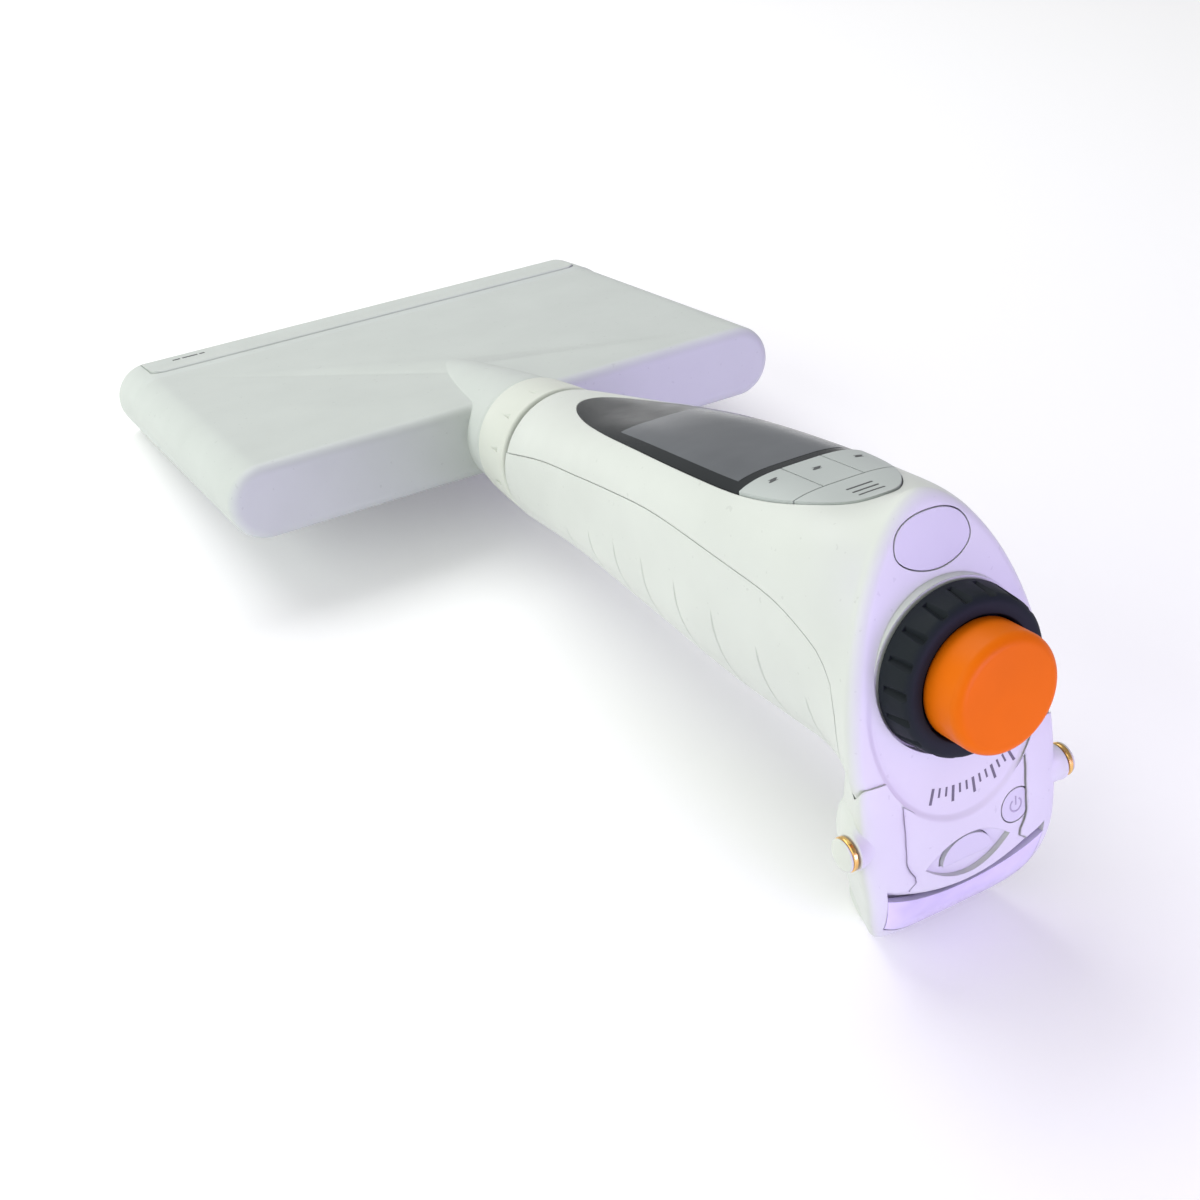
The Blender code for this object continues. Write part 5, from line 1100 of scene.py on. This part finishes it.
def hook_pieces():
    boss = [
        (PIN_BOSS_END - 0.0062, 0.0025, 0.0033), (PIN_BOSS_END - 0.0042, 0.0024, 0.0032),
        (PIN_BOSS_END - 0.0022, 0.0013, 0.0021), (PIN_BOSS_END - 0.0009, 0.0004, 0.0008),
        (PIN_BOSS_END - 0.0002, 0.0, 0.0), (PIN_BOSS_END, -0.0002, 0.0),
    ]
    seat = [(PIN_BOSS_END - PIN_STEM - GAP, PIN_STEM_RADIUS + GAP), (0.025, PIN_STEM_RADIUS + GAP)]
    dish = [(DISH_CLEARANCE * x, z) for x, z in dish_outline()]
    depth = WINDOW_THICKNESS + CARD_THICKNESS + 2 * GAP
    pocket = carve(prism(window_outline(0.0, 0.0016), HOOK_FRONT, WINDOW_BACK, "Y"), cut(hook_block(depth)))
    hook = carve(
        hook_block(0.0),
        cut(prism(dish, HOOK_FRONT, DISH_CUT_END, "Y")),
        add(joined([boss_body(boss, side) for side in (-1, 1)])),
        cut(casing_block(1.2 * SEAM)),
        cut(joined([pin_body(seat, side, 32) for side in (-1, 1)])),
        cut(pocket),
    )
    piece("dressed_hook", hook, "handle", SHELL, "finger_hook")
    window = carve(
        prism(window_outline(SEAM), HOOK_FRONT, WINDOW_BACK - GAP, "Y"),
        keep(hook_block(0.0)),
        cut(hook_block(WINDOW_THICKNESS)),
    )
    # The window's material carries painted reflection streaks in its mottle.
    piece("dressed_window", window, "handle", WINDOW_PAINTED_STREAKS, "label_window")
    for name, side in (("left", -1), ("right", 1)):
        start = PIN_BOSS_END + GAP
        ring_end = start + PIN_RING
        edge = 0.00012
        pin = pin_body([
            (PIN_BOSS_END - PIN_STEM, PIN_STEM_RADIUS), (start, PIN_STEM_RADIUS),
            (start, PIN_RADIUS - edge), (start + edge, PIN_RADIUS),
            (ring_end - edge, PIN_RADIUS), (ring_end, PIN_RADIUS - edge),
        ], side)
        piece(f"dressed_pin_{name}", pin, "handle", GOLD, f"contact_pin_{name}")
        disc_start = ring_end + PIN_DISC_GAP * 0.3
        rim = PIN_RADIUS - PIN_DISC_GAP
        disc = pin_body([
            (disc_start, rim - edge), (disc_start + edge, rim),
            (disc_start + PIN_DISC * 0.5, rim), (disc_start + PIN_DISC * 0.85, rim - edge),
            (disc_start + PIN_DISC, rim - 0.0004), (disc_start + PIN_DISC, 0.0004),
        ], side)
        piece(f"dressed_disc_{name}", disc, "handle", RING, f"contact_disc_{name}")


def key_marks():
    """A dash on each soft key and three short lines on the menu key."""
    skin = casing_blank(KEY_RISE + PROUD)

    def dash(name, body, x, y, length, width):
        corners = [(length / 2 * right, width / 2 * up, width * 0.3)
                   for right, up in ((1, 1), (-1, 1), (-1, -1), (1, -1))]
        outline = [(x + p.x, y + p.y) for p in rounded_outline(corners, 2)]
        piece(name, carve(prism(outline, *TOP_DEPTHS, "Z"), keep(skin.copy())), body, INK)

    for side, x, y in (("left", -0.0065, -0.1017), ("middle", 0.0, -0.1030), ("right", 0.0073, -0.1028)):
        dash(f"{side}_dash", f"soft_key_{side}", x, y, 0.0017, 0.0009)
    for k in range(3):
        dash(f"menu_line_{k + 1}", "menu_key", 0.0, -0.1143 + 0.0014 * (k - 1), 0.0043, 0.00035)
    skin.free()


def face_marks():
    """A scale of ticks under the wheel, every third one longer, and the on/off symbol, whose embossed relief
    is not modelled but painted as grey-lavender lines of shade (painted shade).
    """
    face = casing_blank(PROUD)

    def face_mark(name, body, outlines, paint):
        strokes = [prism(outline, FACE_Y - 0.004, FACE_Y + 0.004, "Y") for outline in outlines]
        piece(name, carve(joined(strokes), keep(face.copy())), body, paint)

    middle = Vector((0.0, WHEEL_Z))
    low = TICK_START
    ticks = []
    for k in range(TICKS):
        turn = math.radians(-107 + 44 * k / (TICKS - 1))
        high, half = (0.0186, 0.00016) if k % 3 else (0.0196, 0.00022)
        along = Vector((math.cos(turn), math.sin(turn)))
        across = Vector((-along.y, along.x)) * half
        ticks.append([middle + along * low + across, middle + along * high + across,
                      middle + along * high - across, middle + along * low - across])
    face_mark("range_ticks", "handle", ticks, PRINT)
    bow = []
    for radius, order in ((0.00115, range(25)), (0.00090, reversed(range(25)))):
        for k in order:
            turn = math.radians(125 + 290 * k / 24)
            bow.append((POWER_KEY_X + radius * math.cos(turn), POWER_KEY_Z + radius * math.sin(turn)))
    left, right = POWER_KEY_X - 0.00012, POWER_KEY_X + 0.00012
    top = POWER_KEY_Z + 0.0014
    stroke = [(left, POWER_KEY_Z), (right, POWER_KEY_Z), (right, top), (left, top)]
    # Painted shade of the embossed on/off symbol, drawn as a flat stroke just proud of the face.
    face_mark("power_symbol", "power_key", [bow, stroke], EMBOSS_PAINTED_SHADE)
    face.free()


def strip_marks():
    """Three short bars near the end of the ejector."""
    low = HEAD_HEIGHT - EJECTOR_DEPTH + 0.0072
    high = low + 0.0010
    rise = HEAD_DEPTH / 2 + EJECTOR_LIP * 0.42
    for k, (start, end) in enumerate(((-0.0462, -0.0445), (-0.0440, -0.0405), (-0.0400, -0.0388))):
        bar = prism([(start, low), (end, low), (end, high), (start, high)], rise - 0.0001, rise, "Z")
        piece(f"strip_bar_{k + 1}", bar, "tip_ejector", INK)


def floor_material():
    """Near white. The camera sees a part of it as glow, so that the shadow stays soft."""
    made = bpy.data.materials.new("floor_paper")
    made.use_nodes = True
    nodes = made.node_tree.nodes
    link = made.node_tree.links.new
    shader = set_inputs(nodes["Principled BSDF"], {
        "Roughness": 0.9, "Specular IOR Level": 0.1, "Emission Color": (1.0, 1.0, 1.0, 1.0),
    })
    grain = set_inputs(nodes.new("ShaderNodeTexNoise"), {"Scale": 900.0})
    link(nodes.new("ShaderNodeTexCoord").outputs["Object"], grain.inputs["Vector"])
    tone = nodes.new("ShaderNodeMix")
    tone.data_type = "RGBA"
    tone.inputs[6].default_value = (0.88, 0.88, 0.89, 1.0)
    tone.inputs[7].default_value = (0.92, 0.92, 0.92, 1.0)
    link(grain.outputs["Fac"], tone.inputs[0])
    link(tone.outputs[2], shader.inputs["Base Color"])
    path = nodes.new("ShaderNodeLightPath")
    seen = nodes.new("ShaderNodeMath")
    seen.operation = "MAXIMUM"
    link(path.outputs["Is Camera Ray"], seen.inputs[0])
    link(path.outputs["Is Glossy Ray"], seen.inputs[1])
    glow = nodes.new("ShaderNodeMath")
    glow.operation = "MULTIPLY"
    glow.inputs[1].default_value = 0.16
    link(seen.outputs[0], glow.inputs[0])
    link(glow.outputs[0], shader.inputs["Emission Strength"])
    return made


def lamp(name, size, place, target, colour, power):
    data = bpy.data.lights.new(name, "AREA")
    data.shape = "RECTANGLE"
    data.size, data.size_y = size
    data.color = colour
    data.energy = power
    obj = linked(name, data)
    obj.location = place
    obj.rotation_euler = (Vector(target) - Vector(place)).to_track_quat("-Z", "Y").to_euler()


def stage():
    bm = bmesh.new()
    bmesh.ops.create_grid(bm, x_segments=24, y_segments=24, size=4.0)
    mesh = mesh_of("floor", bm)
    mesh.materials.append(floor_material())
    floor = linked("floor", mesh)
    world = bpy.data.worlds.new("studio")
    bpy.context.scene.world = world
    world.use_nodes = True
    set_inputs(world.node_tree.nodes["Background"], {"Color": (1.0, 1.0, 1.0, 1.0), "Strength": 0.33})
    lamp("left_key", (1.1, 0.7), (-0.80, -0.05, 0.36), (0.0, 0.0, 0.02), (0.94, 1.0, 0.89), 4.4)
    lamp("top_back", (0.8, 0.5), (-0.10, 0.42, 0.70), (0.0, 0.0, 0.02), (1.0, 1.0, 1.0), 4.5)
    lamp("front_fill", (0.30, 0.22), (0.10, -0.62, 0.10), (0.0, -0.12, 0.03), (0.62, 0.46, 1.0), 2.55)


def camera():
    axes = Matrix((Vector(CAMERA_RIGHT), -Vector(CAMERA_DOWN), -Vector(CAMERA_VIEW))).transposed()
    data = bpy.data.cameras.new("camera")
    data.sensor_width = 36.0
    data.lens = CAMERA_LENS
    data.clip_start = 0.01
    obj = linked("camera", data)
    obj.matrix_world = DESIGN @ Matrix.Translation(Vector(CAMERA_PLACE)) @ axes.to_4x4()
    bpy.context.scene.camera = obj


def write_sizes():
    import json


bpy.context.scene.view_settings.view_transform = "Standard"
paint_frame()
head_piece()
ejector_piece()
ring_piece()
shell_pieces()
wheel_pieces()
hook_pieces()
key_marks()
face_marks()
strip_marks()
stage()
camera()
write_sizes()
